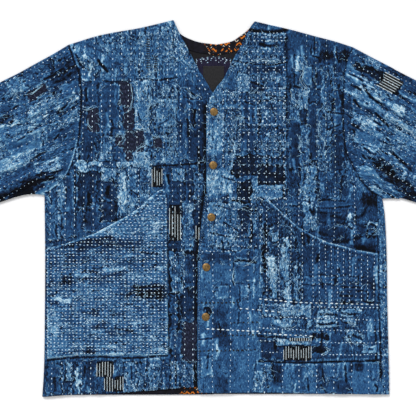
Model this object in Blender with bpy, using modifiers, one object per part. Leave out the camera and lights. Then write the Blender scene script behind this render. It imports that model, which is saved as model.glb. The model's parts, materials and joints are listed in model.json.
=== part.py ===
"""Patched boro jacket, collarless, laid flat on its back with both fronts closed.

Lengths in the tables are millimetres, seen from above: x to the viewer's right,
y toward the neck, z up from the surface that the jacket rests on.
"Right" and "left" in the names are the wearer's.
"""
import math

import bmesh
import bpy
import numpy as np

MM = 0.001

# cloth and layers
WALL = 2.0             # quilted cloth of fronts, back and sleeves
LAYER_GAP = 1.6        # air between the back and what lies on it
SEAM_GAP = 0.3         # between neighbouring pieces
LINING_Z = 2.3         # underside of the bands that lie on the back's inside
LINING_WALL = 1.0
POCKET_WALL = 1.8
POCKET_GAPE = 3.0      # how far a pocket's mouth stands open
OVERLAP_LIFT = 2.3     # rise of the front that lies over the other one
OVERLAP_RUN = 28.0     # length of the slope up to it
EDGE_FADE = 15.0       # folds die out this far from the outline

FOLD = WALL + LAYER_GAP / 2          # outer radius of every turned edge
FOLD_INSIDE = LAYER_GAP / 2          # inner radius of it
TOP = 2 * FOLD                       # height of the top layer's upper face

# mesh density
SIDE_ROWS = 15         # hem to underarm
ARM_ROWS = 20          # underarm to shoulder
ARM_ROWS_BACK = 10
FRONT_COLUMNS = 14
BACK_COLUMNS = 8       # each half
SLEEVE_ROWS = 11

# snap caps
SNAP_RADIUS = 7.5
SNAP_HEIGHT = 2.6
SNAP_STEPS = 20

# outline, columns: x, y
SHOULDER_RIGHT = [(-64, 348.8), (-126, 334.2), (-172, 326.2), (-210, 318.0), (-258.4, 302.9)]
SHOULDER_LEFT = [(86.6, 346.6), (115, 339.8), (156, 330.3), (197, 319.2), (235, 309.2), (268.3, 298.5)]
SLEEVE_TOP_RIGHT = [(-258.4, 302.9), (-286, 286.3), (-319, 268.2), (-352, 250.0), (-385, 233.6), (-700, 78)]
SLEEVE_TOP_LEFT = [(268.3, 298.5), (304, 279.4), (339, 261.5), (385, 237.3), (700, 80)]
SLEEVE_LOW_RIGHT = [(-303, 24.5), (-323, 26.0), (-340, 24.7), (-362, 19.1), (-385, 11.4), (-642, -71)]
SLEEVE_LOW_LEFT = [(322.5, 18.0), (352, 17.6), (385, 11.0), (642, -71)]
SIDE_RIGHT = [(-307.0, -348.9), (-303.8, -295), (-302.6, -221), (-301.8, -93), (-303, 24.5)]
SIDE_LEFT = [(335.8, -344.4), (335.2, -299), (332.1, -178), (331.0, -93), (327.6, -19), (322.5, 18.0)]

# armhole seams from the shoulder to the underarm
ARMHOLE_RIGHT = [
    (-258.4, 302.9), (-247, 270), (-239.4, 253), (-235.3, 220), (-235.3, 187), (-238.7, 137),
    (-244.9, 106), (-252.9, 81), (-262.7, 61), (-278.6, 43), (-303, 24.5),
]
ARMHOLE_LEFT = [
    (268.3, 298.5), (256.5, 272), (251.6, 236), (250.6, 196), (250.4, 157), (255.5, 108),
    (268, 79), (282, 54), (298, 35.5), (322.5, 18.0),
]

# distance of each side seam in from the outline, at equal steps from hem to underarm
SIDE_SEAM_RIGHT = (5.2, 5.2)
SIDE_SEAM_LEFT = (15.7, 15.5, 16.5, 17.0, 16.0, 10.5)

# free edges of the fronts from the hem to the neck point; the bend is where the neckline starts
UNDER_EDGE = [(13, -330), (11, -301), (12, -142), (14, -78), (24, 8), (28, 30)]
UNDER_EDGE_HIGH = [(28, 30), (28, 182)]
UNDER_NECK = [(28, 182), (2.6, 224.5), (-20.4, 263.3), (-38.1, 297), (-54, 327), (-64, 348.8)]
OVER_EDGE = [(-17.4, -341), (-20, -301), (-19.1, -142), (-17.4, -78), (-7.8, 8), (-3, 30)]
OVER_EDGE_HIGH = [(-3, 30), (-2.8, 190.8)]
OVER_NECK = [(-2.8, 190.8), (14.8, 222.7), (29.2, 241), (46.8, 276), (61.1, 301), (74.2, 328.8), (86.6, 346.6)]

# hems
HEM_UNDER = [(13, -330), (-20, -330.5), (-71, -334), (-128, -338.8), (-195, -343.3), (-240, -343.6), (-301.8, -348.5)]
HEM_OVER = [(-17.4, -341), (-6, -341.3), (40, -341.6), (128, -341.2), (216, -343.2), (319.8, -344.3)]
HEM_BACK_RIGHT = [(12, -344.6), (-15, -345.4), (-240, -346.2), (-304.2, -348.8)]
HEM_BACK_LEFT = [(12, -344.6), (50, -344.4), (200, -344.4), (333, -344.4)]

# centre line of the back and its neck edge, to each neck point
BACK_CENTRE = [(12, -344.6), (14, 30)]
BACK_CENTRE_HIGH = [(14, 30), (16, 303.8)]
BACK_NECK_RIGHT = [(16, 303.8), (-13.3, 307.6), (-31.1, 312.9), (-48.7, 321.8), (-60.5, 335), (-64, 348.8)]
BACK_NECK_LEFT = [(16, 303.8), (43.3, 309.5), (59.2, 319.5), (71.6, 328.8), (82, 339), (86.6, 346.6)]

# folds on the top layer, columns: x and y of both ends, height, half width
FOLDS = [
    (-420, 22, -277, 70, 11.0, 15),
    (-560, -40, -400, 20, 5.0, 22),
    (-410, 62, -300, 95, 5.0, 14),
    (-400, 118, -300, 158, 4.0, 16),
    (-368, 152, -240, 218, 5.0, 15),
    (-420, 190, -300, 238, 4.0, 18),
    (-640, 60, -450, 130, 4.5, 26),
    (-620, 0, -430, 72, 4.0, 24),
    (262, 243, 322, 196, 5.0, 13),
    (322, 196, 430, 135, 5.0, 16),
    (264, 208, 385, 140, 6.0, 14),
    (270, 160, 352, 118, 4.0, 13),
    (282, 108, 400, 46, 6.5, 14),
    (292, 76, 380, 30, 6.0, 11),
    (300, 48, 345, 28, 3.5, 9),
    (430, 118, 640, 20, 4.5, 26),
    (440, 175, 650, 82, 4.0, 24),
    (-250, 288, -180, 258, 4.5, 14),
    (-247, 262, -215, 215, 4.0, 12),
    (205, 250, 246, 292, 3.5, 14),
    (225, 200, 247, 262, 3.5, 12),
    (150, 14, 296, -26, 6.0, 13),
    (165, -14, 262, -40, 4.0, 11),
    (299, 16, 262, -24, 5.0, 10),
    (220, 52, 244, -4, 3.0, 14),
    (-288, -128, -165, -120, 3.5, 12),
    (-285, -60, -170, -38, 2.5, 15),
    (-280, -220, -90, -236, 2.0, 26),
    (-200, 60, -190, -20, 2.5, 18),
    (-120, 20, -80, -60, 2.5, 18),
    (-210, 160, -200, 70, 2.0, 18),
    (-70, 200, -60, 60, 2.0, 20),
    (120, 170, 112, 60, 2.0, 22),
    (188, 190, 196, 70, 2.5, 16),
    (70, -40, 92, -150, 3.0, 18),
    (60, -190, 150, -240, 2.5, 22),
    (190, -150, 300, -160, 2.5, 20),
    (200, -250, 300, -262, 2.0, 22),
    (30, -290, 160, -318, 2.0, 16),
    (-230, -310, -60, -300, 1.6, 18),
]

# pockets, corners in order round each one
POCKET_RIGHT = [
    (-304, -74), (-265.7, -66), (-240, -57.4), (-210, -46.7), (-180.6, -30.8), (-148.7, -13.8),
    (-125.4, 2.1), (-104.2, 23.4), (-93.6, 32), (-84, 35.5), (-78.5, 31), (-76.6, 12.7), (-73.5, -269.5),
    (-76, -272), (-240, -271.9), (-304, -279.5),
]
POCKET_LEFT = [
    (101.8, 15.5), (110.3, 17), (139.9, -10.6), (165.4, -33.9), (195.2, -51), (220.5, -62.6),
    (246.1, -69.1), (271.6, -76.5), (326, -85.5), (326, -283.2),
    (229, -282.4), (165.4, -286.6), (97, -283.2), (94.2, -280), (93.2, -221), (94.2, -157),
]
# mouth lines, from the side seam inward
MOUTH_RIGHT = [(-304, -74), (-240, -57.4), (-180.6, -30.8), (-125.4, 2.1), (-84, 35.5)]
MOUTH_LEFT = [(320, -84.5), (246.1, -69.1), (195.2, -51), (165.4, -33.9), (110.3, 17)]

SNAPS = [(11.1, 178.3), (9.6, 79.6), (6.3, -16.6), (-3.0, -108.9), (-4.3, -200.6)]

# colours, sRGB
INDIGO = (0.115, 0.205, 0.375)
PALE_INDIGO = (0.180, 0.290, 0.450)
MID_INDIGO = (0.140, 0.245, 0.420)
BLACK_SATIN = (0.040, 0.040, 0.055)
PURPLE = (0.090, 0.085, 0.160)
BRASS = (0.480, 0.360, 0.200)


def smooth_curve(points, steps=14):
    """Catmull-Rom curve through a short table."""
    table = np.array(points, float)
    padded = np.vstack([2 * table[0] - table[1], table, 2 * table[-1] - table[-2]])
    t = np.linspace(0, 1, steps, endpoint=False)[:, None]
    pieces = []
    for a, b, c, d in zip(padded, padded[1:], padded[2:], padded[3:]):
        bend = (2 * a - 5 * b + 4 * c - d) * t ** 2 + (3 * b - 3 * c + d - a) * t ** 3
        pieces.append(0.5 * (2 * b + (c - a) * t + bend))
    return np.vstack(pieces + [table[-1:]])


def lengths_along(curve):
    """Share of the curve's length at each of its points."""
    steps = np.linalg.norm(np.diff(curve, axis=0), axis=1)
    run = np.concatenate([[0.0], np.cumsum(steps)])
    return run / run[-1]


def along(curve, shares):
    """Points at the given shares of a curve's length."""
    run = lengths_along(curve)
    return np.stack([np.interp(shares, run, curve[:, k]) for k in range(curve.shape[1])], axis=1)


def evenly(points, count):
    return along(smooth_curve(points), np.linspace(0, 1, count + 1))


def joined(*parts):
    """Paths end to end, each starting where the last one stopped."""
    rest = [part[1:] for part in parts[1:]]
    return np.vstack([parts[0]] + rest)


def side_normals(curve, toward):
    """Unit normals of a curve, on the side that faces a point."""
    tangent = np.gradient(curve, axis=0)
    normal = np.stack([-tangent[:, 1], tangent[:, 0]], axis=1)
    normal /= np.linalg.norm(normal, axis=1)[:, None]
    facing = np.sum(normal * (np.array(toward) - curve), axis=1)
    return normal * np.where(facing < 0, -1, 1)[:, None]


def smoothstep(x):
    x = np.clip(x, 0, 1)
    return x * x * (3 - 2 * x)


def distance_to(path, x, y):
    """Shortest way from each x, y to a line of points."""
    best = np.full(np.shape(x), 1e9)
    for (ax, ay), (bx, by) in zip(path[:-1], path[1:]):
        dx = bx - ax
        dy = by - ay
        share = ((x - ax) * dx + (y - ay) * dy) / max(dx * dx + dy * dy, 1e-9)
        share = np.clip(share, 0, 1)
        best = np.minimum(best, np.hypot(x - ax - share * dx, y - ay - share * dy))
    return best


def outline_paths():
    tables = [
        SHOULDER_RIGHT, SHOULDER_LEFT, SLEEVE_TOP_RIGHT, SLEEVE_TOP_LEFT,
        SLEEVE_LOW_RIGHT, SLEEVE_LOW_LEFT, SIDE_RIGHT, SIDE_LEFT,
    ]
    return [smooth_curve(table, 4) for table in tables]


def fold_height(x, y):
    """Height of the folds over the flat top layer."""
    height = np.zeros(np.shape(x))
    for ax, ay, bx, by, rise, width in FOLDS:
        length = math.hypot(bx - ax, by - ay)
        ux = (bx - ax) / length
        uy = (by - ay) / length
        run = (x - ax) * ux + (y - ay) * uy
        off = (x - ax) * -uy + (y - ay) * ux
        ends = smoothstep(0.5 + run / (0.45 * length)) * smoothstep(0.5 + (length - run) / (0.45 * length))
        height = np.maximum(height, rise * np.exp(-(off / width) ** 2) * ends)
    edge = np.full(np.shape(x), 1e9)
    for path in outline_paths():
        edge = np.minimum(edge, distance_to(path, x, y))
    centre = smoothstep((np.abs(x - 5) - 26) / 26)
    cuff = smoothstep((690 - np.abs(x)) / 50)
    return height * smoothstep((edge - FOLD - 1) / EDGE_FADE) * centre * cuff


def overlap_rise(x, y):
    """Rise of the upper front where the lower one lies under it."""
    edge = joined(smooth_curve(UNDER_EDGE), np.array(UNDER_EDGE_HIGH, float), np.array(UNDER_NECK, float))
    under = np.interp(y, edge[:, 1], edge[:, 0])
    return OVERLAP_LIFT * smoothstep(1 - (x - under - 20) / OVERLAP_RUN)


def coons(bottom, top, inner, outer):
    """Plan points between four edges; rows go from bottom to top, columns from inner to outer."""
    u = np.linspace(0, 1, len(bottom))[None, :, None]
    v = 0.5 * (lengths_along(inner) + lengths_along(outer))[:, None, None]
    rows = (1 - v) * bottom[None] + v * top[None]
    columns = (1 - u) * inner[:, None] + u * outer[:, None]
    low = (1 - u) * bottom[0] + u * bottom[-1]
    high = (1 - u) * top[0] + u * top[-1]
    return rows + columns - (1 - v) * low - v * high


def lifted(plan, z):
    return np.concatenate([plan, np.broadcast_to(np.asarray(z, float), plan.shape[:-1])[..., None]], axis=-1)


def weld_patches(name, patches, collection, material):
    """Closed wall from grids of outer and inner points; grids share points where these coincide."""
    index = {}
    outer_points = []
    inner_points = []
    triangles = []
    for outer, inner in patches:
        ids = np.zeros(outer.shape[:2], int)
        for place in np.ndindex(*ids.shape):
            key = tuple(np.round(outer[place], 3))
            if key not in index:
                index[key] = len(outer_points)
                outer_points.append(outer[place])
                inner_points.append(inner[place])
            ids[place] = index[key]
        for row, column in np.ndindex(ids.shape[0] - 1, ids.shape[1] - 1):
            a, b = ids[row, column], ids[row, column + 1]
            c, d = ids[row + 1, column + 1], ids[row + 1, column]
            for face in ((a, b, c), (a, c, d)):
                if len(set(face)) == 3:
                    triangles.append(face)
    directed = {(f[k], f[(k + 1) % 3]) for f in triangles for k in range(3)}
    count = len(outer_points)
    faces = list(triangles)
    faces += [(a + count, c + count, b + count) for a, b, c in triangles]
    for a, b in directed:
        if (b, a) not in directed:
            faces.append((b, a, a + count))
            faces.append((b, a + count, b + count))
    points = np.array(outer_points + inner_points) * MM
    return make_object(name, points, faces, collection, material)


def make_object(name, points, faces, collection, material=None):
    mesh = bpy.data.meshes.new(name)
    mesh.from_pydata([tuple(map(float, p)) for p in points], [], [tuple(map(int, f)) for f in faces])
    work = bmesh.new()
    work.from_mesh(mesh)
    bmesh.ops.recalc_face_normals(work, faces=work.faces)
    work.to_mesh(mesh)
    work.free()
    mesh.update()
    for face in mesh.polygons:
        face.use_smooth = True
    item = bpy.data.objects.new(name, mesh)
    collection.objects.link(item)
    if material is not None:
        mesh.materials.append(material)
    return item


def make_material(name, colour, roughness, metallic=0.0):
    material = bpy.data.materials.new(name)
    material.use_nodes = True
    shader = material.node_tree.nodes["Principled BSDF"]
    linear = [c / 12.92 if c <= 0.04045 else ((c + 0.055) / 1.055) ** 2.4 for c in colour]
    shader.inputs["Base Color"].default_value = (*linear, 1.0)
    shader.inputs["Roughness"].default_value = roughness
    shader.inputs["Metallic"].default_value = metallic
    material.diffuse_color = (*linear, 1.0)
    return material


def mitre(first, second):
    """Offset that stays one radius away from two edges with these unit normals."""
    return FOLD * (first + second) / (1 + float(np.dot(first, second)))


def arm_seam(armhole, shoulder_normal, sleeve_normal, side, side_normal, low_normal, seam_in, body):
    """Everything that the body and the sleeve share at one armhole."""
    top_offset = mitre(shoulder_normal, sleeve_normal)
    low_offset = mitre(side_normal, low_normal)
    table = [np.array(p, float) for p in armhole]
    table[0] = table[0] - top_offset
    table[-1] = table[-1] - low_offset
    curve = smooth_curve(table)
    run = lengths_along(curve)
    start = int(np.argmax(np.abs(curve[:, 0] - side[-1][0]) < seam_in[-1] - 0.001))
    top_shares = np.append(np.linspace(0, run[start], ARM_ROWS + 1), 1.0)
    back_shares = np.linspace(0, 1, ARM_ROWS_BACK + 1)
    seams = {}
    for key, shares in (("top", top_shares), ("back", back_shares)):
        points = along(curve, shares)
        normal = side_normals(points, body)
        body_shift = 0.5 * SEAM_GAP * normal
        sleeve_shift = -body_shift
        body_shift[-1] = (0, -0.22)
        sleeve_shift[-1] = (0.22 * np.sign(side_normal[0]), 0)
        seams[key] = {"plan": points, "body": points + body_shift, "sleeve": points + sleeve_shift, "share": shares}
    seams["top_offset"] = top_offset
    seams["low_offset"] = low_offset
    return seams


def edge_normal(table, at_end, outward):
    """Unit normal of an outline table at one of its ends."""
    a, b = (table[-2], table[-1]) if at_end else (table[0], table[1])
    step = np.array(b, float) - np.array(a, float)
    normal = np.array([-step[1], step[0]]) / np.linalg.norm(step)
    return normal if np.dot(normal, outward) > 0 else -normal


def seam_inset(table, shares):
    return np.interp(shares, np.linspace(0, 1, len(table)), table)


def shoulder_edge(table, seam, columns):
    """Shoulder line one fold radius inside the outline, neck to armhole, and the offsets out to it."""
    outline = evenly(table, columns)
    offset = FOLD * side_normals(outline, (outline[0] + outline[-1]) / 2 + np.array([0, 900]))
    offset[-1] = seam["top_offset"]
    shift = np.zeros(2)
    inset = outline - offset
    return inset, offset, shift


def turned_rows(inset, offset, below):
    """Rows of a quarter round from a flat layer to the middle of the fold."""
    outer_rows = []
    inner_rows = []
    sign = -1 if below else 1
    for outer_rise, inner_rise in ((FOLD, FOLD_INSIDE), (0.707 * FOLD, 0.707 * FOLD_INSIDE), (0.15, 0.15)):
        outer_out = math.sqrt(max(FOLD ** 2 - outer_rise ** 2, 0)) / FOLD
        inner_out = math.sqrt(max(FOLD_INSIDE ** 2 - inner_rise ** 2, 0)) / FOLD
        outer_rows.append(lifted(inset + offset * outer_out, FOLD + sign * outer_rise))
        inner_rows.append(lifted(inset + offset * inner_out, FOLD + sign * inner_rise))
    return np.array(outer_rows), np.array(inner_rows)


def front_panel(inner_paths, side, seam_in, seam, hem, shoulder, rise, corner):
    """Patches of one front: the flat part and the quarter round at the shoulder."""
    neck_rows = ARM_ROWS - corner
    inner = joined(
        evenly(inner_paths[0], SIDE_ROWS),
        evenly(inner_paths[1], corner),
        evenly(inner_paths[2], neck_rows),
    )
    outline = evenly(side, SIDE_ROWS)
    toward = np.sign(5 - side[0][0])
    shares = np.linspace(0, 1, SIDE_ROWS + 1)
    line = outline.copy()
    line[:, 0] += toward * (seam_inset(seam_in, shares) + 0.5 * SEAM_GAP)
    arm = seam["top"]["body"][:-1][::-1]
    line[:, 1] += (arm[0][1] - line[-1][1]) * shares
    line[-1] = arm[0]
    outer = joined(line, arm)
    inset, offset, _ = shoulder_edge(shoulder, seam, FRONT_COLUMNS)
    inner[-1] = inset[0]
    inset[-1] = outer[-1]
    bottom = evenly(hem, FRONT_COLUMNS)
    bottom += (inner[0] - bottom[0]) * np.linspace(1, 0, len(bottom))[:, None]
    bottom += (outer[0] - bottom[-1]) * np.linspace(0, 1, len(bottom))[:, None]
    plan = coons(bottom, inset, inner, outer)
    z = TOP + fold_height(plan[..., 0], plan[..., 1]) + rise(plan[..., 0], plan[..., 1])
    z[-1] = TOP
    turn = turned_rows(inset, offset, below=False)
    return [(lifted(plan, z), lifted(plan, z - WALL)), turn]


def back_half(inner_paths, side, seam_in, seam, hem, shoulder, corner):
    """Patches of one half of the back with the strip that turns up round the side."""
    inner = joined(
        evenly(inner_paths[0], SIDE_ROWS),
        evenly(inner_paths[1], corner),
        evenly(inner_paths[2], ARM_ROWS_BACK - corner),
    )
    outline = evenly(side, SIDE_ROWS)
    toward = np.sign(5 - side[0][0])
    shares = np.linspace(0, 1, SIDE_ROWS + 1)
    arm = seam["back"]["body"][::-1]
    axis = outline.copy()
    axis[:, 0] += toward * FOLD
    axis[:, 1] += (arm[0][1] - axis[-1][1]) * shares
    axis[-1] = arm[0]
    outer = joined(axis, arm)
    inset, offset, _ = shoulder_edge(shoulder, seam, BACK_COLUMNS)
    inner[-1] = inset[0]
    inset[-1] = outer[-1]
    bottom = evenly(hem, BACK_COLUMNS)
    bottom += (inner[0] - bottom[0]) * np.linspace(1, 0, len(bottom))[:, None]
    bottom += (outer[0] - bottom[-1]) * np.linspace(0, 1, len(bottom))[:, None]
    plan = coons(bottom, inset, inner, outer)
    flat = (lifted(plan, 0), lifted(plan, WALL))
    turn = turned_rows(inset, offset, below=True)
    return [flat, turn, side_turn(axis, toward, seam_in, seam)]


def side_turn(axis, toward, seam_in, seam):
    """The back's strip round the side fold and over it up to the side seam."""
    out = np.tile(np.array([-toward * FOLD, 0.0]), (len(axis), 1))
    out[-1] = seam["low_offset"]
    columns_out = []
    columns_in = []
    for angle in (180, 135, 90, 45, 0):
        away = math.sin(math.radians(angle))
        up = math.cos(math.radians(angle))
        columns_out.append(lifted(axis + out * away, FOLD + FOLD * up))
        columns_in.append(lifted(axis + out * away * FOLD_INSIDE / FOLD, FOLD + FOLD_INSIDE * up))
    shares = np.linspace(0, 1, len(axis))
    reach = seam_inset(seam_in, shares) - FOLD - 0.5 * SEAM_GAP
    strip = axis.copy()
    strip[:, 0] += toward * reach
    start = seam["top"]["plan"][-2] + seam["top"]["body"][-1] - seam["top"]["plan"][-1]
    strip[:, 1] += (start[1] - strip[-1][1]) * shares
    strip[-1] = (start[0] - toward * SEAM_GAP * 0.5, start[1])
    columns_out.append(lifted(strip, TOP))
    columns_in.append(lifted(strip, TOP - WALL))
    return np.array(columns_out).transpose(1, 0, 2), np.array(columns_in).transpose(1, 0, 2)


def make_fronts(seams, collection, materials):
    right = front_panel(
        (UNDER_EDGE, UNDER_EDGE_HIGH, UNDER_NECK), SIDE_RIGHT, SIDE_SEAM_RIGHT, seams["right"],
        HEM_UNDER, SHOULDER_RIGHT, lambda x, y: 0.0 * x, 9,
    )
    left = front_panel(
        (OVER_EDGE, OVER_EDGE_HIGH, OVER_NECK), SIDE_LEFT, SIDE_SEAM_LEFT, seams["left"],
        HEM_OVER, SHOULDER_LEFT, overlap_rise, 9,
    )
    weld_patches("right_front", right, collection, materials["indigo"])
    weld_patches("left_front", left, collection, materials["mid"])
    return {"right": right[0], "left": left[0]}


def make_back(seams, collection, material):
    right = back_half(
        (BACK_CENTRE, BACK_CENTRE_HIGH, BACK_NECK_RIGHT), SIDE_RIGHT, SIDE_SEAM_RIGHT, seams["right"],
        HEM_BACK_RIGHT, SHOULDER_RIGHT, 7,
    )
    left = back_half(
        (BACK_CENTRE, BACK_CENTRE_HIGH, BACK_NECK_LEFT), SIDE_LEFT, SIDE_SEAM_LEFT, seams["left"],
        HEM_BACK_LEFT, SHOULDER_LEFT, 7,
    )
    # the left half's rows run the other way round, so both halves face down
    mirrored = [(outer[:, ::-1], inner[:, ::-1]) for outer, inner in left]
    weld_patches("back", right + mirrored, collection, material)


def sleeve_rings(top_table, low_table, seam, body):
    """Rings of a flattened sleeve from the armhole to the cuff."""
    upper = evenly(top_table, SLEEVE_ROWS)
    lower = evenly(low_table, SLEEVE_ROWS)
    upper_out = FOLD * side_normals(upper, (0, 2000))
    lower_out = FOLD * side_normals(lower, (0, -2000))
    upper_out[0] = seam["top_offset"]
    lower_out[0] = seam["low_offset"]
    outer_rings = []
    inner_rings = []
    for row in range(SLEEVE_ROWS + 1):
        share = row / SLEEVE_ROWS
        fade = (1 - share) ** 1.6
        start = upper[row] - upper_out[row]
        end = lower[row] - lower_out[row]
        layers = {}
        for key in ("top", "back"):
            plan = seam[key]["plan"]
            position = seam[key]["share"][:, None]
            bulge = plan - (plan[0] + (plan[-1] - plan[0]) * position)
            ring = start + (end - start) * position + bulge * fade
            if row == 0:
                ring = seam[key]["sleeve"]
            layers[key] = ring
        z = TOP + fold_height(layers["top"][:, 0], layers["top"][:, 1])
        z[0] = TOP
        z[-1] = TOP
        outer_ring = [lifted(layers["top"], z)]
        inner_ring = [lifted(layers["top"], z - WALL)]
        for out, centre, angles in (
            (lower_out[row], layers["top"][-1], (45, 90, 135)),
            (None, None, None),
            (upper_out[row], layers["top"][0], (135, 90, 45)),
        ):
            if out is None:
                outer_ring.append(lifted(layers["back"][::-1], 0.0))
                inner_ring.append(lifted(layers["back"][::-1], WALL))
                continue
            for angle in angles:
                away = math.sin(math.radians(angle))
                up = math.cos(math.radians(angle))
                outer_ring.append(lifted((centre + out * away)[None], FOLD + FOLD * up))
                inner_ring.append(lifted((centre + out * away * FOLD_INSIDE / FOLD)[None], FOLD + FOLD_INSIDE * up))
        outer_ring.append(outer_ring[0][:1])
        inner_ring.append(inner_ring[0][:1])
        outer_rings.append(np.vstack(outer_ring))
        inner_rings.append(np.vstack(inner_ring))
    return [(np.array(outer_rings), np.array(inner_rings))]


def band_between(name, first, second, collection, material):
    """Flat band on the back's inside between two lines of points."""
    plan = np.stack([first, (first + second) / 2, second], axis=0)
    patch = (lifted(plan, LINING_Z), lifted(plan, LINING_Z + LINING_WALL))
    weld_patches(name, [patch], collection, material)


def make_linings(collection, materials):
    neck = joined(
        smooth_curve(BACK_NECK_RIGHT[:5])[::-1],
        smooth_curve(BACK_NECK_LEFT[:5]),
    )
    neck = along(neck, np.linspace(0.03, 0.97, 25))
    inward = side_normals(neck, (12, -900))
    band_between("neck_facing", neck + inward * 0.8, neck + inward * 20.0, collection, materials["satin"])
    patch = np.array([(-21.5, 279.5), (-8, 280.2), (12, 280.4), (30, 280.2), (42, 279.2)])
    lower = patch + np.array([0.0, -84.0])
    band_between("neck_patch", patch, lower, collection, materials["purple"])
    hem = joined(
        smooth_curve(HEM_BACK_RIGHT)[::-1],
        smooth_curve(HEM_BACK_LEFT),
    )
    hem = along(hem, np.linspace(0.02, 0.98, 25))
    rise = np.array([0.0, 1.0])
    band_between("hem_facing", hem + rise * 1.2, hem + rise * 26.0, collection, materials["satin"])


def pocket_gape(mouth, x, y):
    """How far the pocket stands off its panel near the mouth."""
    line = smooth_curve(mouth)
    away = distance_to(line, x, y)
    run = np.clip(np.abs(x - line[0][0]) / abs(line[-1][0] - line[0][0]), 0, 1)
    return POCKET_GAPE * smoothstep(1 - away / 60) * np.sin(np.pi * run) ** 0.8


def make_pocket(name, panel, outline, mouth, collection, cutters, material):
    """Panel points moved out, cut to the pocket's outline."""
    outer, _ = panel
    corners = np.array(outline)
    low = corners.min(axis=0) - 3
    high = corners.max(axis=0) + 3
    inside = np.all((outer[..., :2] > low) & (outer[..., :2] < high), axis=2)
    rows = np.flatnonzero(inside.any(axis=1))
    columns = np.flatnonzero(inside.any(axis=0))
    rows = slice(max(rows[0] - 1, 0), rows[-1] + 2)
    columns = slice(max(columns[0] - 1, 0), columns[-1] + 2)
    base = outer[rows, columns].copy()
    base[..., 2] += SEAM_GAP + pocket_gape(mouth, base[..., 0], base[..., 1])
    upper = base.copy()
    upper[..., 2] += POCKET_WALL
    # the slab reaches past the outline at the side seam, where the panel ends
    slab = weld_patches(name, [(upper, base)], collection, material)
    count = len(corners)
    points = [(*p, -5.0) for p in corners] + [(*p, 60.0) for p in corners]
    faces = [tuple(range(count))[::-1], tuple(range(count, 2 * count))]
    faces += [(k, (k + 1) % count, (k + 1) % count + count, k + count) for k in range(count)]
    cutter = make_object(name + "_outline", np.array(points) * MM, faces, cutters)
    cutter.display_type = "WIRE"
    cutter.hide_render = True
    cut = slab.modifiers.new("outline", "BOOLEAN")
    cut.operation = "INTERSECT"
    cut.solver = "EXACT"
    cut.object = cutter
    return slab


def make_snap(name, x, y, collection, material):
    """Domed cap turned from its half section."""
    base = TOP + OVERLAP_LIFT + SEAM_GAP
    section = [
        (0.0, 0.0), (SNAP_RADIUS - 0.5, 0.0), (SNAP_RADIUS, 0.5), (SNAP_RADIUS - 0.2, 1.2),
        (SNAP_RADIUS - 1.6, 1.9), (SNAP_RADIUS - 3.0, SNAP_HEIGHT - 0.3), (0.0, SNAP_HEIGHT),
    ]
    points = [(r * MM, 0.0, z * MM) for r, z in section]
    mesh = bpy.data.meshes.new(name)
    mesh.from_pydata(points, [(k, k + 1) for k in range(len(points) - 1)], [])
    item = bpy.data.objects.new(name, mesh)
    collection.objects.link(item)
    item.location = (x * MM, y * MM, base * MM)
    mesh.materials.append(material)
    turn = item.modifiers.new("turned", "SCREW")
    turn.axis = "Z"
    turn.steps = SNAP_STEPS
    turn.render_steps = SNAP_STEPS
    turn.use_merge_vertices = True
    turn.merge_threshold = 0.00002
    turn.use_smooth_shade = True
    turn.use_normal_calculate = True
    return item


def clear_scene():
    for item in list(bpy.data.objects):
        bpy.data.objects.remove(item, do_unlink=True)


def main():
    clear_scene()
    jacket = bpy.data.collections.new("patched_boro_jacket")
    cutters = bpy.data.collections.new("cutters")
    bpy.context.scene.collection.children.link(jacket)
    bpy.context.scene.collection.children.link(cutters)
    cutters.hide_render = True
    materials = {
        "indigo": make_material("indigo_patched_cotton", INDIGO, 0.9),
        "mid": make_material("mid_indigo_patched_cotton", MID_INDIGO, 0.9),
        "pale": make_material("washed_indigo_cotton", PALE_INDIGO, 0.9),
        "satin": make_material("black_printed_lining", BLACK_SATIN, 0.5),
        "purple": make_material("purple_quilted_cotton", PURPLE, 0.9),
        "brass": make_material("antique_brass", BRASS, 0.4, 1.0),
    }
    up = np.array([0.0, 1.0])
    down = -up
    right_seam = arm_seam(
        ARMHOLE_RIGHT,
        edge_normal(SHOULDER_RIGHT, True, up), edge_normal(SLEEVE_TOP_RIGHT, False, up),
        SIDE_RIGHT, np.array([-1.0, 0.0]), down, SIDE_SEAM_RIGHT, (0, 150),
    )
    left_seam = arm_seam(
        ARMHOLE_LEFT,
        edge_normal(SHOULDER_LEFT, True, up), edge_normal(SLEEVE_TOP_LEFT, False, up),
        SIDE_LEFT, np.array([1.0, 0.0]), down, SIDE_SEAM_LEFT, (0, 150),
    )
    seams = {"right": right_seam, "left": left_seam}
    make_back(seams, jacket, materials["indigo"])
    make_linings(jacket, materials)
    panels = make_fronts(seams, jacket, materials)
    body = (0, 150)
    right_rings = sleeve_rings(SLEEVE_TOP_RIGHT, SLEEVE_LOW_RIGHT, right_seam, body)
    left_rings = sleeve_rings(SLEEVE_TOP_LEFT, SLEEVE_LOW_LEFT, left_seam, body)
    weld_patches("right_sleeve", right_rings, jacket, materials["mid"])
    weld_patches("left_sleeve", left_rings, jacket, materials["mid"])
    make_pocket(
        "right_pocket", panels["right"], POCKET_RIGHT, MOUTH_RIGHT, jacket, cutters, materials["pale"],
    )
    make_pocket(
        "left_pocket", panels["left"], POCKET_LEFT, MOUTH_LEFT, jacket, cutters, materials["indigo"],
    )
    for number, (x, y) in enumerate(SNAPS, start=1):
        make_snap(f"snap_{number}", x, y, jacket, materials["brass"])


main()
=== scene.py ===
import json
import math

import bpy
import numpy as np
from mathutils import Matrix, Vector
from mathutils.bvhtree import BVHTree

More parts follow.
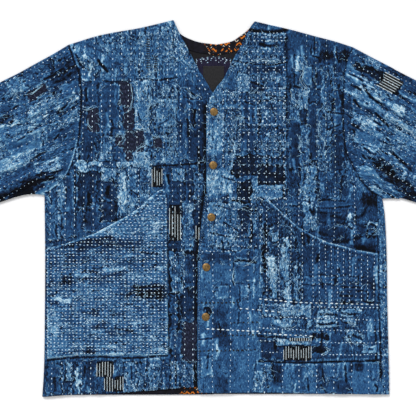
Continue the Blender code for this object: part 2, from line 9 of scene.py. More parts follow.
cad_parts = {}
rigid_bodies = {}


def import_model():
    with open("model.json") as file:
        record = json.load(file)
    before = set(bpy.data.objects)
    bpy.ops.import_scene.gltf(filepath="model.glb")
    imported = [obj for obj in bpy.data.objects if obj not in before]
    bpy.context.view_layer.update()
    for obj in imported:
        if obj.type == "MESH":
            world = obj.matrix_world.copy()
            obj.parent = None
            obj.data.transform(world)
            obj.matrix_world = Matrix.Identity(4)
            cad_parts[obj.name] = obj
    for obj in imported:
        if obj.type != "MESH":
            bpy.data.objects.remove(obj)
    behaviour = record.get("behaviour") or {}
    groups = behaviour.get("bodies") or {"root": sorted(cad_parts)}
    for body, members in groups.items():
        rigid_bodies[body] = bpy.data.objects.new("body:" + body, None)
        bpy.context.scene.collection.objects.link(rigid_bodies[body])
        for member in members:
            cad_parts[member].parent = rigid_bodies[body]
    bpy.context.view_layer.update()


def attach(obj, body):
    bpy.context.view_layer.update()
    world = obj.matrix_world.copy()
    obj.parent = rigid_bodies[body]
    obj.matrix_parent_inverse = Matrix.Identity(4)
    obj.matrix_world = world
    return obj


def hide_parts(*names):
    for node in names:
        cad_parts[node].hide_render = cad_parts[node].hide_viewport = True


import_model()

mm = 0.001
fabric = {"wall": 2.0, "airGap": 1.6, "gridStep": 1.8, "backStep": 4.5, "hemWall": 1.8}  # millimetres
foldRadius = fabric["wall"] + fabric["airGap"] / 2
topHeight = 2 * foldRadius

# outline of the garment in millimetres, x to the viewer's right and y toward the neck
outline = {
    "shoulderRight": [(-64, 348.8), (-126, 334.2), (-172, 326.2), (-210, 318.0), (-258.4, 302.9)],
    "shoulderLeft": [(86.6, 346.6), (115, 339.8), (156, 330.3), (197, 319.2), (235, 309.2), (268.3, 298.5)],
    "sleeveTopRight": [(-258.4, 302.9), (-286, 286.3), (-319, 268.2), (-352, 250.0), (-385, 233.6), (-700, 78)],
    "sleeveTopLeft": [(268.3, 298.5), (304, 279.4), (339, 261.5), (385, 237.3), (700, 80)],
    "sleeveLowRight": [(-303, 24.5), (-323, 26.0), (-340, 24.7), (-362, 19.1), (-385, 11.4), (-642, -71)],
    "sleeveLowLeft": [(322.5, 18.0), (352, 17.6), (385, 11.0), (642, -71)],
    "sideRight": [(-307.0, -348.9), (-303.8, -295), (-302.6, -221), (-301.8, -93), (-303, 24.5)],
    "sideLeft": [(335.8, -344.4), (335.2, -299), (332.1, -178), (331.0, -93), (327.6, -19), (322.5, 18.0)],
    "armRight": [
        (-258.4, 302.9), (-247, 270), (-239.4, 253), (-235.3, 220), (-235.3, 187), (-238.7, 137), (-244.9, 106),
        (-252.9, 81), (-262.7, 61), (-278.6, 43), (-303, 24.5),
    ],
    "armLeft": [
        (268.3, 298.5), (256.5, 272), (251.6, 236), (250.6, 196), (250.4, 157), (255.5, 108), (268, 79), (282, 54),
        (298, 35.5), (322.5, 18.0),
    ],
    "seamInRight": (5.2, 5.2),
    "seamInLeft": (15.7, 15.5, 16.5, 17.0, 16.0, 10.5),
}

# free edges and hems, hem first, as in the solids
edges = {
    "underEdge": [(13, -330), (11, -301), (12, -142), (14, -78), (24, 8), (28, 30)],
    "underHigh": [(28, 30), (28, 182)],
    "underNeck": [(28, 182), (2.6, 224.5), (-20.4, 263.3), (-38.1, 297), (-54, 327), (-64, 348.8)],
    "overEdge": [(-17.4, -341), (-20, -301), (-19.1, -142), (-17.4, -78), (-7.8, 8), (-3, 30)],
    "overHigh": [(-3, 30), (-2.8, 190.8)],
    "overNeck": [
        (-2.8, 190.8), (14.8, 222.7), (29.2, 241), (46.8, 276), (61.1, 301), (74.2, 328.8), (86.6, 346.6),
    ],
    "hemUnder": [
        (13, -330), (-20, -330.5), (-71, -334), (-128, -338.8), (-195, -343.3), (-240, -343.6), (-301.8, -348.5),
    ],
    "hemOver": [(-17.4, -341), (-6, -341.3), (40, -341.6), (128, -341.2), (216, -343.2), (319.8, -344.3)],
    "hemBackRight": [(12, -344.6), (-15, -345.4), (-240, -346.2), (-304.2, -348.8)],
    "hemBackLeft": [(12, -344.6), (50, -344.4), (200, -344.4), (333, -344.4)],
    "backCentre": [(12, -344.6), (14, 30)],
    "backHigh": [(14, 30), (16, 303.8)],
    "backNeckRight": [(16, 303.8), (-13.3, 307.6), (-31.1, 312.9), (-48.7, 321.8), (-60.5, 335), (-64, 348.8)],
    "backNeckLeft": [(16, 303.8), (43.3, 309.5), (59.2, 319.5), (71.6, 328.8), (82, 339), (86.6, 346.6)],
}

# broad folds: both ends, height and half width
folds = [
    (-420, 22, -277, 70, 11.0, 15), (-560, -40, -400, 20, 5.0, 22), (-410, 62, -300, 95, 5.0, 14),
    (-400, 118, -300, 158, 4.0, 16), (-368, 152, -240, 218, 5.0, 15), (-420, 190, -300, 238, 4.0, 18),
    (-640, 60, -450, 130, 4.5, 26), (-620, 0, -430, 72, 4.0, 24), (262, 243, 322, 196, 5.0, 13),
    (322, 196, 430, 135, 5.0, 16), (264, 208, 385, 140, 6.0, 14), (270, 160, 352, 118, 4.0, 13),
    (282, 108, 400, 46, 6.5, 14), (292, 76, 380, 30, 6.0, 11), (300, 48, 345, 28, 3.5, 9),
    (430, 118, 640, 20, 4.5, 26), (440, 175, 650, 82, 4.0, 24), (-250, 288, -180, 258, 4.5, 14),
    (-247, 262, -215, 215, 4.0, 12), (205, 250, 246, 292, 3.5, 14), (225, 200, 247, 262, 3.5, 12),
    (150, 14, 296, -26, 6.0, 13), (165, -14, 262, -40, 4.0, 11), (299, 16, 262, -24, 5.0, 10),
    (220, 52, 244, -4, 3.0, 14), (-288, -128, -165, -120, 3.5, 12), (-285, -60, -170, -38, 2.5, 15),
    (-280, -220, -90, -236, 2.0, 26), (-200, 60, -190, -20, 2.5, 18), (-120, 20, -80, -60, 2.5, 18),
    (-210, 160, -200, 70, 2.0, 18), (-70, 200, -60, 60, 2.0, 20), (120, 170, 112, 60, 2.0, 22),
    (188, 190, 196, 70, 2.5, 16), (70, -40, 92, -150, 3.0, 18), (60, -190, 150, -240, 2.5, 22),
    (190, -150, 300, -160, 2.5, 20), (200, -250, 300, -262, 2.0, 22), (30, -290, 160, -318, 2.0, 16),
    (-230, -310, -60, -300, 1.6, 18),
]

# the marks below are read off the photo, in its pixels
photo = {"mmToPixel": 1.85, "middle": (208.0, 208.35)}


def fromPhoto(x, y):
    return (x - photo["middle"][0]) * photo["mmToPixel"], (photo["middle"][1] - y) * photo["mmToPixel"]


def photoPath(numbers):
    return np.array([fromPhoto(x, y) for x, y in zip(numbers[::2], numbers[1::2])])


# grooves between folds: depth and half width in mm, then the points
creases = [
    (-2.0, 3, 356, 82, 369, 95, 382, 103, 400, 113), (-2, 3, 357, 173, 369, 175, 381, 178, 394, 185, 405, 192),
    (-1.6, 2.6, 352, 96, 364, 106, 380, 110, 398, 122, 414, 132), (-1.8, 2.8, 358, 168, 376, 170, 390, 178),
    (-1.6, 2.6, 372, 146, 392, 148, 412, 160), (-1.5, 2.4, 356, 122, 372, 124, 386, 132),
    (-1.5, 2.4, 350, 66, 362, 72, 372, 84), (-1.4, 2.4, 396, 90, 416, 104), (-1.6, 2.6, 400, 176, 420, 190),
    (-1.8, 3, -8, 163, 14, 158, 31, 150.7), (-1.8, 3.4, -6, 172, 10, 168, 24, 163),
    (-1.6, 2.6, 36, 131, 60, 121, 78, 109), (-1.5, 2.4, 45, 113, 60, 107, 78, 98),
    (-1.8, 3, 32, 183, 48, 182, 62, 176), (-1.5, 2.4, 46, 163, 62, 158, 72, 150),
    (-1.4, 2.4, 6, 106, 24, 104, 44, 96), (-1.4, 2.4, 20, 142, 40, 140, 58, 130),
    (-1.5, 2.6, 40, 90, 62, 82, 78, 76), (-1.4, 2.4, 0, 128, 22, 122, 40, 112), (2.0, 3.2, 30, 162, 46, 151),
    (2.5, 4, 19, 184, 38, 175, 57, 172.5), (1.6, 2.6, 54, 140, 66, 135.5), (2.0, 2.6, 56, 114, 66, 104, 77, 94),
    (1.2, 2.6, 31, 118.5, 54, 111.5), (1.6, 2.8, 38, 129, 67, 116.5), (1.4, 2.6, 24, 132, 40, 126),
    (1.6, 3.4, 53, 172, 64, 169), (1.8, 2.2, 8, 80, 14, 94, 19, 98.5), (4.0, 6, 0, 199, 21, 191, 31, 184),
    (4.0, 5, 31, 184, 40, 180, 54, 179.5), (1.5, 3, 0, 176, 30, 166), (1.2, 2.6, 2, 152, 30, 143),
    (1.6, 2.8, 57, 83, 78, 71), (1.2, 2.6, 48, 88, 66, 78), (1.2, 3, 10, 140, 50, 121),
    (2.2, 3, 347, 80, 356, 87.5), (2.4, 3, 363.5, 85.5, 370.5, 97, 382, 106), (2.2, 3, 376, 113.4, 388.5, 126.5),
    (2.0, 3.4, 383, 107, 416, 128), (2.4, 3, 354, 100, 361, 109, 377, 116, 398, 128, 416, 140),
    (2.6, 4, 363, 157, 377, 160, 391, 174, 404, 183), (3.0, 7, 378, 164, 393, 178, 404, 186, 418, 201),
    (2.4, 3, 391.5, 152, 405, 164, 413, 170), (2.4, 2.8, 380, 176, 396, 184, 410, 194),
    (1.4, 2.8, 348, 128, 372, 136), (1.8, 3, 364, 148.5, 371, 153, 386, 153.5), (1.6, 2.6, 350, 70, 362, 66),
    (0.8, 3, 385, 60, 412, 84), (1.8, 2.6, 72, 52, 84, 70), (2.4, 2.6, 96, 57, 102, 65, 108, 71),
    (1.4, 2.4, 86, 46, 110, 55), (1.0, 2.4, 92, 66, 116, 72), (2.0, 3, 298, 206, 330, 216, 366, 226),
    (1.4, 2.4, 300, 216, 325, 223), (3.4, 3.2, 335, 242, 345, 242.6, 353, 239, 366, 236.3, 375, 236),
    (3, 2.6, 355, 247.5, 377, 252.5), (2.6, 2.6, 368, 203, 364, 214, 359, 218, 353, 220),
    (1.6, 2.6, 313, 223, 338, 224, 345, 223.5), (1.6, 2.6, 304, 228, 330, 236),
    (2.2, 3, 61, 284, 81, 280, 101, 278, 111, 276, 125, 271),
    (1.4, 2.6, 117.5, 266, 132, 262.5, 142, 259.5, 155, 258.5), (1.2, 2.6, 60, 247, 116, 236),
    (1.2, 1.4, 76, 165, 76, 238), (1.2, 1.5, 286.5, 30, 287, 200), (1.0, 1.5, 102, 80.5, 177, 80.5),
    (1.4, 2.4, 330, 52, 346, 66), (1.2, 2.6, 322, 70, 342, 84), (1.0, 2.4, 310, 40, 330, 48),
    (2.0, 2.0, 265.5, 226, 266, 268), (0.8, 2.4, 100, 100, 98, 150), (1.2, 2.6, 240, 205, 262, 214),
    (1.0, 2.6, 214, 322, 226, 338), (1.2, 2.6, 60, 302, 46, 296),
]

# crisp dark lines: slits, and painted shade along seams, creases and the pockets' lower edges; half width in mm,
# darkness, then the points
slitsAndShadeLines = [
    (1.1, .75, 103, 80.5, 113, 82, 134, 81), (1.2, .8, 142, 79, 160, 80, 176, 77.5), (1.6, 1, 86, 89, 86.3, 101),
    (2.1, 1, 98.6, 61, 104, 68, 107, 71.5), (1.4, .9, 76, 55, 79, 61), (1.3, 1, 151, 166, 180, 164.8, 205, 162.8),
    (1.4, 1, 79, 149, 79, 160), (1.2, .8, 75, 166, 75, 206), (1.2, .8, 94, 141, 97, 150),
    (1.5, .9, 175.7, 363, 176, 385), (1.2, .8, 147, 359, 147, 371), (1.2, .8, 131, 366, 131.5, 384),
    (1.2, .8, 78, 61, 80, 66), (1.5, .95, 48, 360.5, 72, 357.6, 101, 357, 132, 358, 167, 355.5),
    (1.4, .7, 152, 88, 152.5, 98), (1.4, .7, 186, 89, 196, 96), (1.3, .7, 160, 124, 168, 120),
    (1.2, .6, 138, 112, 140, 122), (1.3, .7, 147, 146, 158, 152), (1.2, .7, 112, 177, 114, 186),
    (1.2, .7, 131, 190, 140, 197), (1.3, .8, 48, 188, 52, 204), (1.1, .7, 57, 214, 68, 212),
    (2.6, 1, 249, 29.5, 262, 31.5, 276, 31.5, 286, 30), (2.3, .9, 260, 44, 270, 46.5, 278, 45.5),
    (1.3, .9, 234, 60.8, 253, 63.9, 271, 64.9, 287, 61.8), (1.7, .8, 249, 81, 263, 86),
    (1.3, .8, 266, 95.5, 285, 97.5), (1.2, .8, 245, 101.6, 255, 105.7), (0.9, .5, 286.8, 62, 287, 200),
    (1.4, .8, 294, 86, 300, 87, 308, 90), (1.4, .8, 313, 56, 320, 57.5), (1.1, .7, 314, 38, 314.5, 54),
    (1.3, .8, 338, 90, 342, 100, 341, 112), (1.3, .8, 326, 112, 342, 114), (1.3, .7, 328, 130, 340, 124),
    (1.1, .6, 302, 96, 304, 110), (1.2, .6, 236, 116, 248, 119), (1.2, .7, 257, 133, 267, 136),
    (1.3, .8, 222, 176, 238, 183), (1.3, .8, 224, 222, 238, 231), (1.2, .7, 214, 205, 228, 209),
    (1.6, 1, 231, 200, 246, 203), (1.8, .9, 264, 225, 272, 226), (1.3, .8, 210, 233, 230, 237),
    (1.4, .8, 218, 248, 236, 252), (1.9, 1, 235, 260.5, 247, 261, 256, 262), (1.2, .8, 233.5, 263, 233.5, 285),
    (2.2, 1, 262.5, 246, 263.2, 256, 263.5, 269), (1.8, 1, 274, 267, 274.6, 270.5), (1.8, 1, 284, 243, 285, 246),
    (1.6, 1, 284, 252, 284.4, 254), (1.6, 1, 285, 258, 285.4, 260), (1.5, .9, 297.5, 263, 298.6, 268, 297.5, 275),
    (1.5, .9, 259, 336.2, 284, 337.5, 292, 340), (1.3, .7, 199, 339, 212, 338.6),
    (1.6, 1, 258.8, 361, 300, 362.8, 340, 361.5, 380, 360.5), (2.0, 1, 320, 314.5, 328, 314, 336, 314.6),
    (1.6, .9, 342, 313, 350, 314, 359, 314), (1.7, 1, 318, 323.5, 325, 324.5, 334, 323),
    (1.5, .8, 344, 322.5, 353, 323.5), (1.7, .9, 352, 335, 358, 337, 362, 339.5), (1.5, .9, 346, 334, 348.5, 337),
    (1.5, .8, 369, 348.5, 372, 348.8), (1.4, .8, 341, 287, 360, 287.4), (1.4, .9, 356.5, 290.6, 366.5, 291),
    (1.4, .8, 340.5, 295.5, 352, 296), (1.3, .8, 364, 302, 377, 302.6),
    (1.5, .9, 378.4, 236, 378.8, 300, 380, 340, 380.3, 378), (1.3, .7, 379, 288.5, 389, 287),
    (1.3, .7, 379, 294, 384, 295), (1.3, .8, 382, 270, 388, 271),
    (1.5, 1, 371, 223.5, 375.8, 226, 376, 232, 373, 233.6), (1.3, .7, 318, 201, 330, 199.5, 345, 201),
    (1.3, .7, 317, 207.5, 333, 208, 350, 206), (1.3, .7, 320, 212.5, 340, 213), (1.6, .9, 309, 197, 310, 204),
    (1.6, .9, 310, 208, 312, 215), (1.5, .9, 348, 226, 352, 229), (1.4, .8, 290, 206, 299, 206.6),
    (1.6, .9, 375, 385, 378, 388, 377, 391), (1.4, .7, 345, 366, 346, 382), (1.4, .7, 322, 368, 324, 380),
    (1.4, .7, 308, 378, 309, 391), (1.5, .7, 321, 385, 326, 392), (1.2, .7, 237, 300, 240, 310),
    (1.9, 1, 45, 79.5, 49, 77), (1.9, 1, 67.5, 75.5, 70, 73.5), (1.6, 1, 60.5, 92.5, 61.5, 90.5),
    (1.2, 1, 47, 98.8, 50.5, 97.8), (1.4, .9, 24, 82, 25.5, 81), (1.2, .9, 34.5, 73, 38, 74),
    (1.7, 1, 57, 61, 60.5, 59.5), (1.3, .9, 8, 100, 12.5, 98.5), (1.4, .9, 38, 105, 41, 104),
    (1.3, .9, 17, 125.4, 21, 124.6), (1.7, .9, 14, 108, 18, 106), (1.4, .8, 27, 112, 31, 110.5),
    (1.2, .8, 52, 80, 60, 75.5), (1.6, 1, 57, 113.5, 62, 109, 67, 104.5),
    (1.6, 1, 31, 160.5, 38, 156.5, 45.5, 151.5), (1.5, .8, 41, 138, 44, 145), (1.5, 1, 21, 182.6, 26.5, 181.2),
    (1.6, .9, 38, 174.5, 42, 176), (1.7, 1, 47, 177, 53, 175.8), (1.5, 1, 55, 139, 59, 134.5),
    (1.2, .8, 18, 140.5, 25, 137), (1.4, .9, 28, 132.5, 33, 131.6), (1.3, .8, 64, 138, 66.5, 136.5),
    (1.4, .9, 349, 73.6, 356, 77), (1.8, 1, 358, 78.5, 362.5, 80.8), (1.4, 1, 351, 84.3, 361, 90),
    (2.0, 1, 363.5, 85.5, 367, 92, 370.5, 97), (1.6, .9, 371.5, 98, 381, 105),
    (1.6, 1, 376, 113.4, 382, 120, 388.5, 126.5), (1.3, .8, 353.6, 100.3, 361.4, 109),
    (1.6, 1, 366, 103.5, 367, 104.5), (1.7, 1, 400.5, 113, 402, 114), (1.7, 1, 397, 126.5, 400.5, 129.5),
    (1.6, .9, 373.5, 121, 380, 125), (1.4, 1, 372, 89.4, 374, 90), (1.4, 1, 377.5, 94.5, 379, 95),
    (1.9, 1, 391.5, 152, 398, 158, 405, 164), (1.5, 1, 364.5, 148.5, 370, 152.6),
    (1.2, .9, 375.7, 151.5, 382, 151.5, 387, 153.6), (1.5, .9, 386, 139, 389, 141), (1.3, .9, 385, 146, 391, 148.5),
    (1.5, 1, 363, 156, 366, 159.5), (1.5, 1, 369, 157.5, 374.5, 159.5), (1.5, .9, 391, 175, 394, 176.5),
    (1.3, .9, 340.8, 90, 341, 100), (1.4, .9, 342.6, 92, 343, 110), (1.3, .8, 384, 61, 387, 64),
    (1.3, .9, 404, 98.5, 409, 99.5), (1.3, .8, 381, 101, 384, 99.5),
]

# patches, blotches and worn holes of each panel, and a few soft dark areas that are painted shade: two corners, turn
# in degrees, tone from 0 dark to 1 pale, look (cloth and how its edge is finished)
patchworkAndShade = {
    "rightFront": [
        (100, 24, 196, 80, 0, .50, "worn soft"), (70, 44, 104, 66, 0, .48, "soft"),
        (80, 60, 135, 165, 0, .37, "calm soft"), (176, 84, 212, 165, 0, .32, "calm soft"),
        (45, 165, 78, 240, 0, .37, "soft"), (118, 168, 152, 214, 0, .46, "worn soft"),
        (160, 165, 208, 250, 0, .28, "calm soft"), (168, 250, 212, 392, 0, .09, "calm soft"),
        (43, 358, 170, 396, 0, .33, "soft"), (104, 70, 132, 78, 0, .52, "soft"), (68, 42, 80, 52, 0, .66, "soft"),
        (104, 26, 140, 42, 0, .40, "worn patch"), (140, 28, 172, 60, 0, .47, "worn patch"),
        (174, 24, 194, 46, 0, .48, "patch"), (174, 48, 200, 64, -28, .50, "patch"),
        (78, 60, 100, 70, -40, .44, "worn patch"), (118, 66, 126, 80, 0, .32, "calm patch"),
        # the first of these is painted shade beside the armhole seam
        (82, 84, 88, 128, 0, .20, "calm soft"), (136, 82, 176, 163, 0, .40, "worn patch"),
        (135, 80, 150, 132, 0, .58, "worn patch"), (150, 88, 158, 120, 0, .40, "worn patch"),
        (163, 84, 170, 162, 0, .40, "worn patch"), (157, 100, 176, 126, 0, .50, "worn patch"),
        (100, 84, 119, 128, 0, .36, "calm patch"), (178, 92, 186, 160, 0, .38, "patch"),
        (186, 100, 206, 160, 0, .26, "calm patch"), (188, 110, 196, 128, 0, .20, "calm hole"),
        (119.3, 82, 132.7, 106, 0, .2, "plum hole"), (123.8, 105, 133.3, 160, 0, .2, "plum hole"),
        (124, 131, 143.5, 151, 0, .2, "plum hole"), (115, 136, 124.5, 146.5, 0, .2, "plum hole"),
        (87.4, 108.5, 99, 131, 0, .2, "plum hole"), (153, 138, 161, 148.5, 0, .2, "plum hole"),
        (82, 70, 90, 82, 0, .50, "patch"), (101, 136, 112, 160, 0, .44, "worn patch"),
        (81, 132, 96, 162, 0, .26, "calm patch"), (133, 152, 150, 163, 0, .58, "worn patch"),
        (74, 161.5, 102, 166.5, 0, .62, "patch"), (79, 166, 88, 171.5, 0, .66, "patch"),
        (118, 162, 152, 167, 0, .56, "worn patch"), (78, 171.5, 102, 207, 0, .24, "calm hole"),
        (96, 180, 117, 204, 0, .25, "calm hole"), (100, 200, 117, 222, 0, .24, "calm hole"),
        (84, 206, 100, 232, 0, .28, "calm patch"), (102, 168, 116, 181, 0, .52, "worn patch"),
        (46, 198, 60, 240, 0, .42, "patch"), (62, 176, 74, 236, 0, .36, "calm patch"),
        (58, 172, 64, 206, 0, .50, "worn patch"), (120, 172, 126, 214, 0, .60, "worn patch"),
        (128, 176, 138, 206, 0, .46, "worn patch"), (140, 168, 150, 192, 0, .34, "patch"),
        (172, 168, 184, 182, 0, .52, "worn patch"), (186, 166, 198, 204, 0, .28, "calm patch"),
        (194, 172, 204, 200, 0, .38, "worn patch"), (183, 204, 193, 250, 0, .42, "worn patch"),
        (160, 222, 168, 250, 0, .30, "calm patch"), (170, 252, 184, 276, 0, .36, "worn patch"),
        (184, 256, 198, 286, 0, .32, "patch"), (172, 276, 182, 292, 0, .42, "worn patch"),
        (181, 287, 196.5, 321, 0, .25, "calm hole"), (170, 294, 176, 350, 0, .34, "patch"),
        (182.5, 321, 197, 362, 0, .2, "plum hole"), (171, 330, 182, 372, 0, .32, "patch"),
        (171, 362, 194, 388, 0, .40, "worn patch"), (194, 362, 199, 372, 0, .02, "calm hole"),
        (46, 366, 60, 394, 0, .36, "calm patch"), (62, 364, 72, 392, 0, .30, "patch"),
        (66, 362, 72, 380, 0, .56, "worn patch"), (76.6, 367, 79.6, 392, 0, .74, "patch"),
        (84, 360, 96, 392, 0, .26, "calm patch"), (124, 362, 136, 392, 0, .46, "worn patch"),
        (138, 362, 150, 390, 0, .36, "worn patch"), (150, 358, 160, 388, 0, .44, "worn patch"),
        (160, 366, 170, 388, 0, .26, "patch"),
    ],
    "leftFront": [
        (232, 48, 286, 92, 0, .43, "worn soft"), (222, 90, 286, 165, 0, .32, "worn soft"),
        (286, 28, 346, 66, 0, .32, "calm soft"), (288, 28, 316, 74, 0, .37, "calm soft"),
        (288, 74, 345, 120, 0, .33, "soft"), (288, 120, 345, 200, 0, .27, "soft"),
        (206, 80, 224, 124, 0, .50, "worn soft"), (205, 122, 224, 154, 0, .66, "worn soft"),
        (206, 168, 232, 196, 0, .62, "worn soft"), (206, 196, 242, 252, 0, .50, "worn soft"),
        (240, 190, 288, 250, 0, .31, "worn soft"), (198, 252, 260, 394, 0, .48, "calm soft"),
        (259, 361, 390, 395, 0, .52, "calm soft"), (295, 200, 380, 250, 0, .33, "calm soft"),
        (252, 33, 286, 42, 0, .34, "worn patch"), (248, 47, 286, 60, 0, .36, "worn patch"),
        # the first of these is painted shade in the fold at the shoulder
        (318, 51, 351, 61, 0, .00, "worn soft"), (246, 64, 284, 74, 0, .24, "calm patch"),
        (238, 74, 248, 92, 0, .52, "worn patch"), (262, 88, 286, 98, 0, .42, "worn patch"),
        (248, 82, 264, 92, 0, .22, "calm patch"), (294, 56, 306, 70, 0, .45, "worn patch"),
        (304, 66, 312, 84, 0, .50, "calm patch"), (290, 88, 300, 120, 0, .42, "worn patch"),
        (299, 88, 309, 108, 0, .54, "worn patch"), (315, 70, 322, 86, 0, .30, "calm patch"),
        (322, 66, 334, 110, 0, .38, "worn patch"), (333, 78, 343, 130, 0, .32, "calm patch"),
        (308, 104, 318, 160, 0, .26, "calm patch"), (290, 120, 300, 168, 0, .28, "calm patch"),
        (300, 124, 308, 200, 0, .38, "worn patch"), (318, 110, 331, 170, 0, .38, "worn patch"),
        (304, 166, 316, 200, 0, .52, "worn patch"), (332, 134, 343, 176, 0, .24, "calm patch"),
        (320, 172, 340, 200, 0, .30, "patch"), (224, 92, 240, 108, 0, .42, "worn patch"),
        (240, 100, 258, 124, 0, .28, "calm patch"), (262, 100, 284, 126, 0, .38, "worn patch"),
        (226, 112, 240, 150, 0, .34, "worn patch"), (232, 156, 262, 176, 0, .17, "calm hole"),
        (258, 164, 284, 186, 0, .16, "calm hole"), (240, 130, 256, 150, 0, .27, "calm patch"),
        (262, 134, 282, 156, 0, .34, "worn patch"), (238, 182, 252, 204, 0, .17, "calm hole"),
        (252, 186, 283, 198, 0, .54, "patch"), (221, 194, 232, 206, 0, .24, "calm patch"),
        (262, 200, 268, 246, 0, .36, "patch"), (208, 98, 216, 108, 0, .60, "worn patch"),
        (206, 176, 220, 188, 0, .74, "worn soft"), (208, 202, 222, 214, 0, .50, "worn patch"),
        (218, 204, 230, 216, 0, .46, "worn patch"), (210, 224, 232, 246, 0, .48, "worn patch"),
        (238, 206, 252, 236, 0, .20, "calm patch"), (254, 206, 262, 214, 0, .28, "patch"),
        (268, 214, 290, 240, 0, .36, "patch"), (201, 252, 232, 262, 0, .28, "calm patch"),
        (234, 250, 258, 259, 0, .34, "calm patch"), (234, 262, 255.5, 282, 0, .40, "calm patch"),
        (235, 271, 244, 280, 0, .48, "calm soft"), (224, 271, 230, 279, 0, .62, "calm soft"),
        (203, 272, 212, 278, 0, .60, "calm soft"), (217, 286, 228, 298, 0, .50, "patch"),
        (241, 286, 248, 299, 0, .52, "patch"), (231, 286, 241, 298, 0, .40, "calm soft"),
        (204, 307, 212, 314, 0, .12, "calm hole"), (214, 310, 228, 320, 0, .28, "calm soft"),
        (234, 308, 252, 320, 0, .40, "calm soft"), (214, 322, 228, 338, 0, .22, "calm soft"),
        (218, 338, 233, 348, 0, .28, "calm soft"), (201, 340, 212, 349, 0, .52, "calm soft"),
        (201, 357, 212, 376, 0, .56, "patch"), (217, 356, 233, 365, 0, .40, "calm soft"),
        (238, 358, 247, 375, 0, .54, "calm soft"), (234, 336, 246, 346, 0, .50, "calm soft"),
        (242, 376, 256, 392, 0, .48, "calm soft"), (216, 376, 228, 392, 0, .30, "calm soft"),
        (304, 202, 317, 230, 0, .52, "worn patch"), (347, 214, 354, 227, 0, .46, "worn patch"),
        (318, 206, 346, 220, 0, .24, "calm soft"), (318, 226, 346, 238, 0, .24, "calm patch"),
        (354, 222, 366, 234, 0, .30, "calm patch"), (366.6, 221, 378, 235, 0, .52, "patch"),
        # the last of these is painted shade under the arm
        (368.6, 223.5, 375.5, 233, 0, .26, "calm hole"), (362, 194, 384, 206, 0, .00, "calm soft"),
        # the first of these is painted shade in the pocket's mouth
        (354, 243, 378, 251, 0, .14, "calm soft"), (262, 366, 272, 380, 0, .44, "worn patch"),
        (271, 364, 282, 384, 0, .16, "calm soft"), (294, 364, 306, 392, 0, .40, "calm patch"),
        (306, 368, 316, 378, 0, .60, "worn soft"), (316, 362, 326, 388, 0, .28, "calm patch"),
        (336, 361, 344, 380, 0, .46, "calm patch"), (350, 361, 362, 371, 0, .10, "calm soft"),
        (372, 362, 380, 380, 0, .44, "calm patch"), (326, 378, 350, 394, 0, .34, "calm patch"),
        (254, 372, 264, 392, 0, .54, "worn patch"),
    ],
    "rightPocket": [
        (46, 240, 168, 300, 0, .38, "worn soft"), (60, 290, 166, 352, 0, .43, "worn soft"),
        (120, 200, 166, 236, 0, .50, "worn soft"), (78, 238, 112, 250, 6, .20, "calm soft"),
        (96, 240, 142, 247, 4, .22, "calm soft"), (135, 285.5, 163.5, 299, 0, .04, "calm patch"),
        (122, 291, 140, 297, 8, .10, "calm soft"), (62, 276, 71, 285, 0, .12, "calm soft"),
        (64, 257, 85, 263, 0, .24, "calm soft"), (81, 310, 100, 315, 4, .18, "calm soft"),
        (92, 325, 106, 329, 8, .14, "calm soft"), (149, 307.5, 156, 310, 6, .10, "calm soft"),
        (113, 314, 125, 318, 0, .20, "calm soft"), (46, 299, 60, 305, -12, .16, "calm soft"),
        (83, 351, 97, 355, 0, .12, "calm soft"), (108, 332, 128, 336, 0, .24, "calm soft"),
        (140, 326, 150, 330, 0, .26, "calm soft"), (50, 340, 70, 350, 0, .56, "calm soft"),
        (70, 286, 118, 296, 0, .54, "soft"), (130, 270, 164, 284, 0, .54, "soft"),
    ],
    "leftPocket": [
        (260, 204, 304, 300, 0, .28, "worn soft"), (303, 245, 378, 300, 0, .37, "calm soft"),
        (260, 304, 378, 334, 0, .38, "soft"), (311, 332, 378, 360, 0, .36, "calm soft"),
        (258, 338, 284, 360, 0, .28, "calm patch"), (262, 226, 268, 250, 0, .20, "calm hole"),
        (262, 250, 266.5, 270, 0, .03, "calm hole"), (267, 256.5, 277, 278, 0, .74, "worn patch"),
        (270, 278, 276.5, 297, 0, .60, "worn patch"), (282.5, 236, 289, 281, 0, .60, "worn patch"),
        (283.5, 283, 289.5, 299, 0, .62, "worn patch"), (289.5, 250, 296, 262, 0, .26, "calm patch"),
        (295, 262, 300, 300, 0, .50, "worn patch"), (278, 256, 282, 296, 0, .22, "calm patch"),
        (271, 232, 277, 240, 0, .60, "worn patch"), (305, 277, 368, 283, 0, .40, "calm patch"),
        (341, 279, 377, 301, 0, .26, "calm patch"), (306, 280, 310, 300, 0, .40, "calm soft"),
        (303, 246, 330, 262, 0, .26, "calm soft"), (290, 306, 311, 316, 0, .52, "worn patch"),
        (262, 304, 290, 316, 0, .42, "worn patch"), (282, 308, 295, 315, 0, .58, "worn patch"),
        (318, 309, 337, 317, 0, .52, "worn patch"), (340, 309, 361, 316, 0, .46, "worn patch"),
        (272, 319, 292, 326, 0, .54, "worn patch"), (316, 319, 337, 327, 0, .54, "worn patch"),
        (344, 319, 356, 325, 0, .50, "worn patch"), (307, 319, 311, 327, 0, .68, "calm patch"),
        (260, 318, 272, 330, 0, .40, "calm patch"), (276, 338, 311, 345, 0, .62, "worn patch"),
        (311, 333.5, 328, 339.4, 0, .12, "calm hole"), (311.5, 346, 328, 352.4, 0, .12, "calm hole"),
        (364.5, 345, 376.5, 352, 0, .52, "patch"), (345, 332, 364, 342, -20, .46, "worn patch"),
    ],
    "rightSleeve": [
        (0, 60, 80, 120, 0, .38, "soft"), (0, 118, 60, 160, 0, .50, "worn soft"),
        (20, 150, 70, 190, 0, .42, "soft"), (0, 172, 60, 200, 0, .32, "soft"),
        (50, 60, 78, 84, 0, .22, "calm soft"), (9, 78, 26, 93, 24, .52, "patch"),
        (27, 88.5, 49, 96, 30, .2, "plum hole"), (-9, 117.5, 13, 126, 16, .13, "calm hole"),
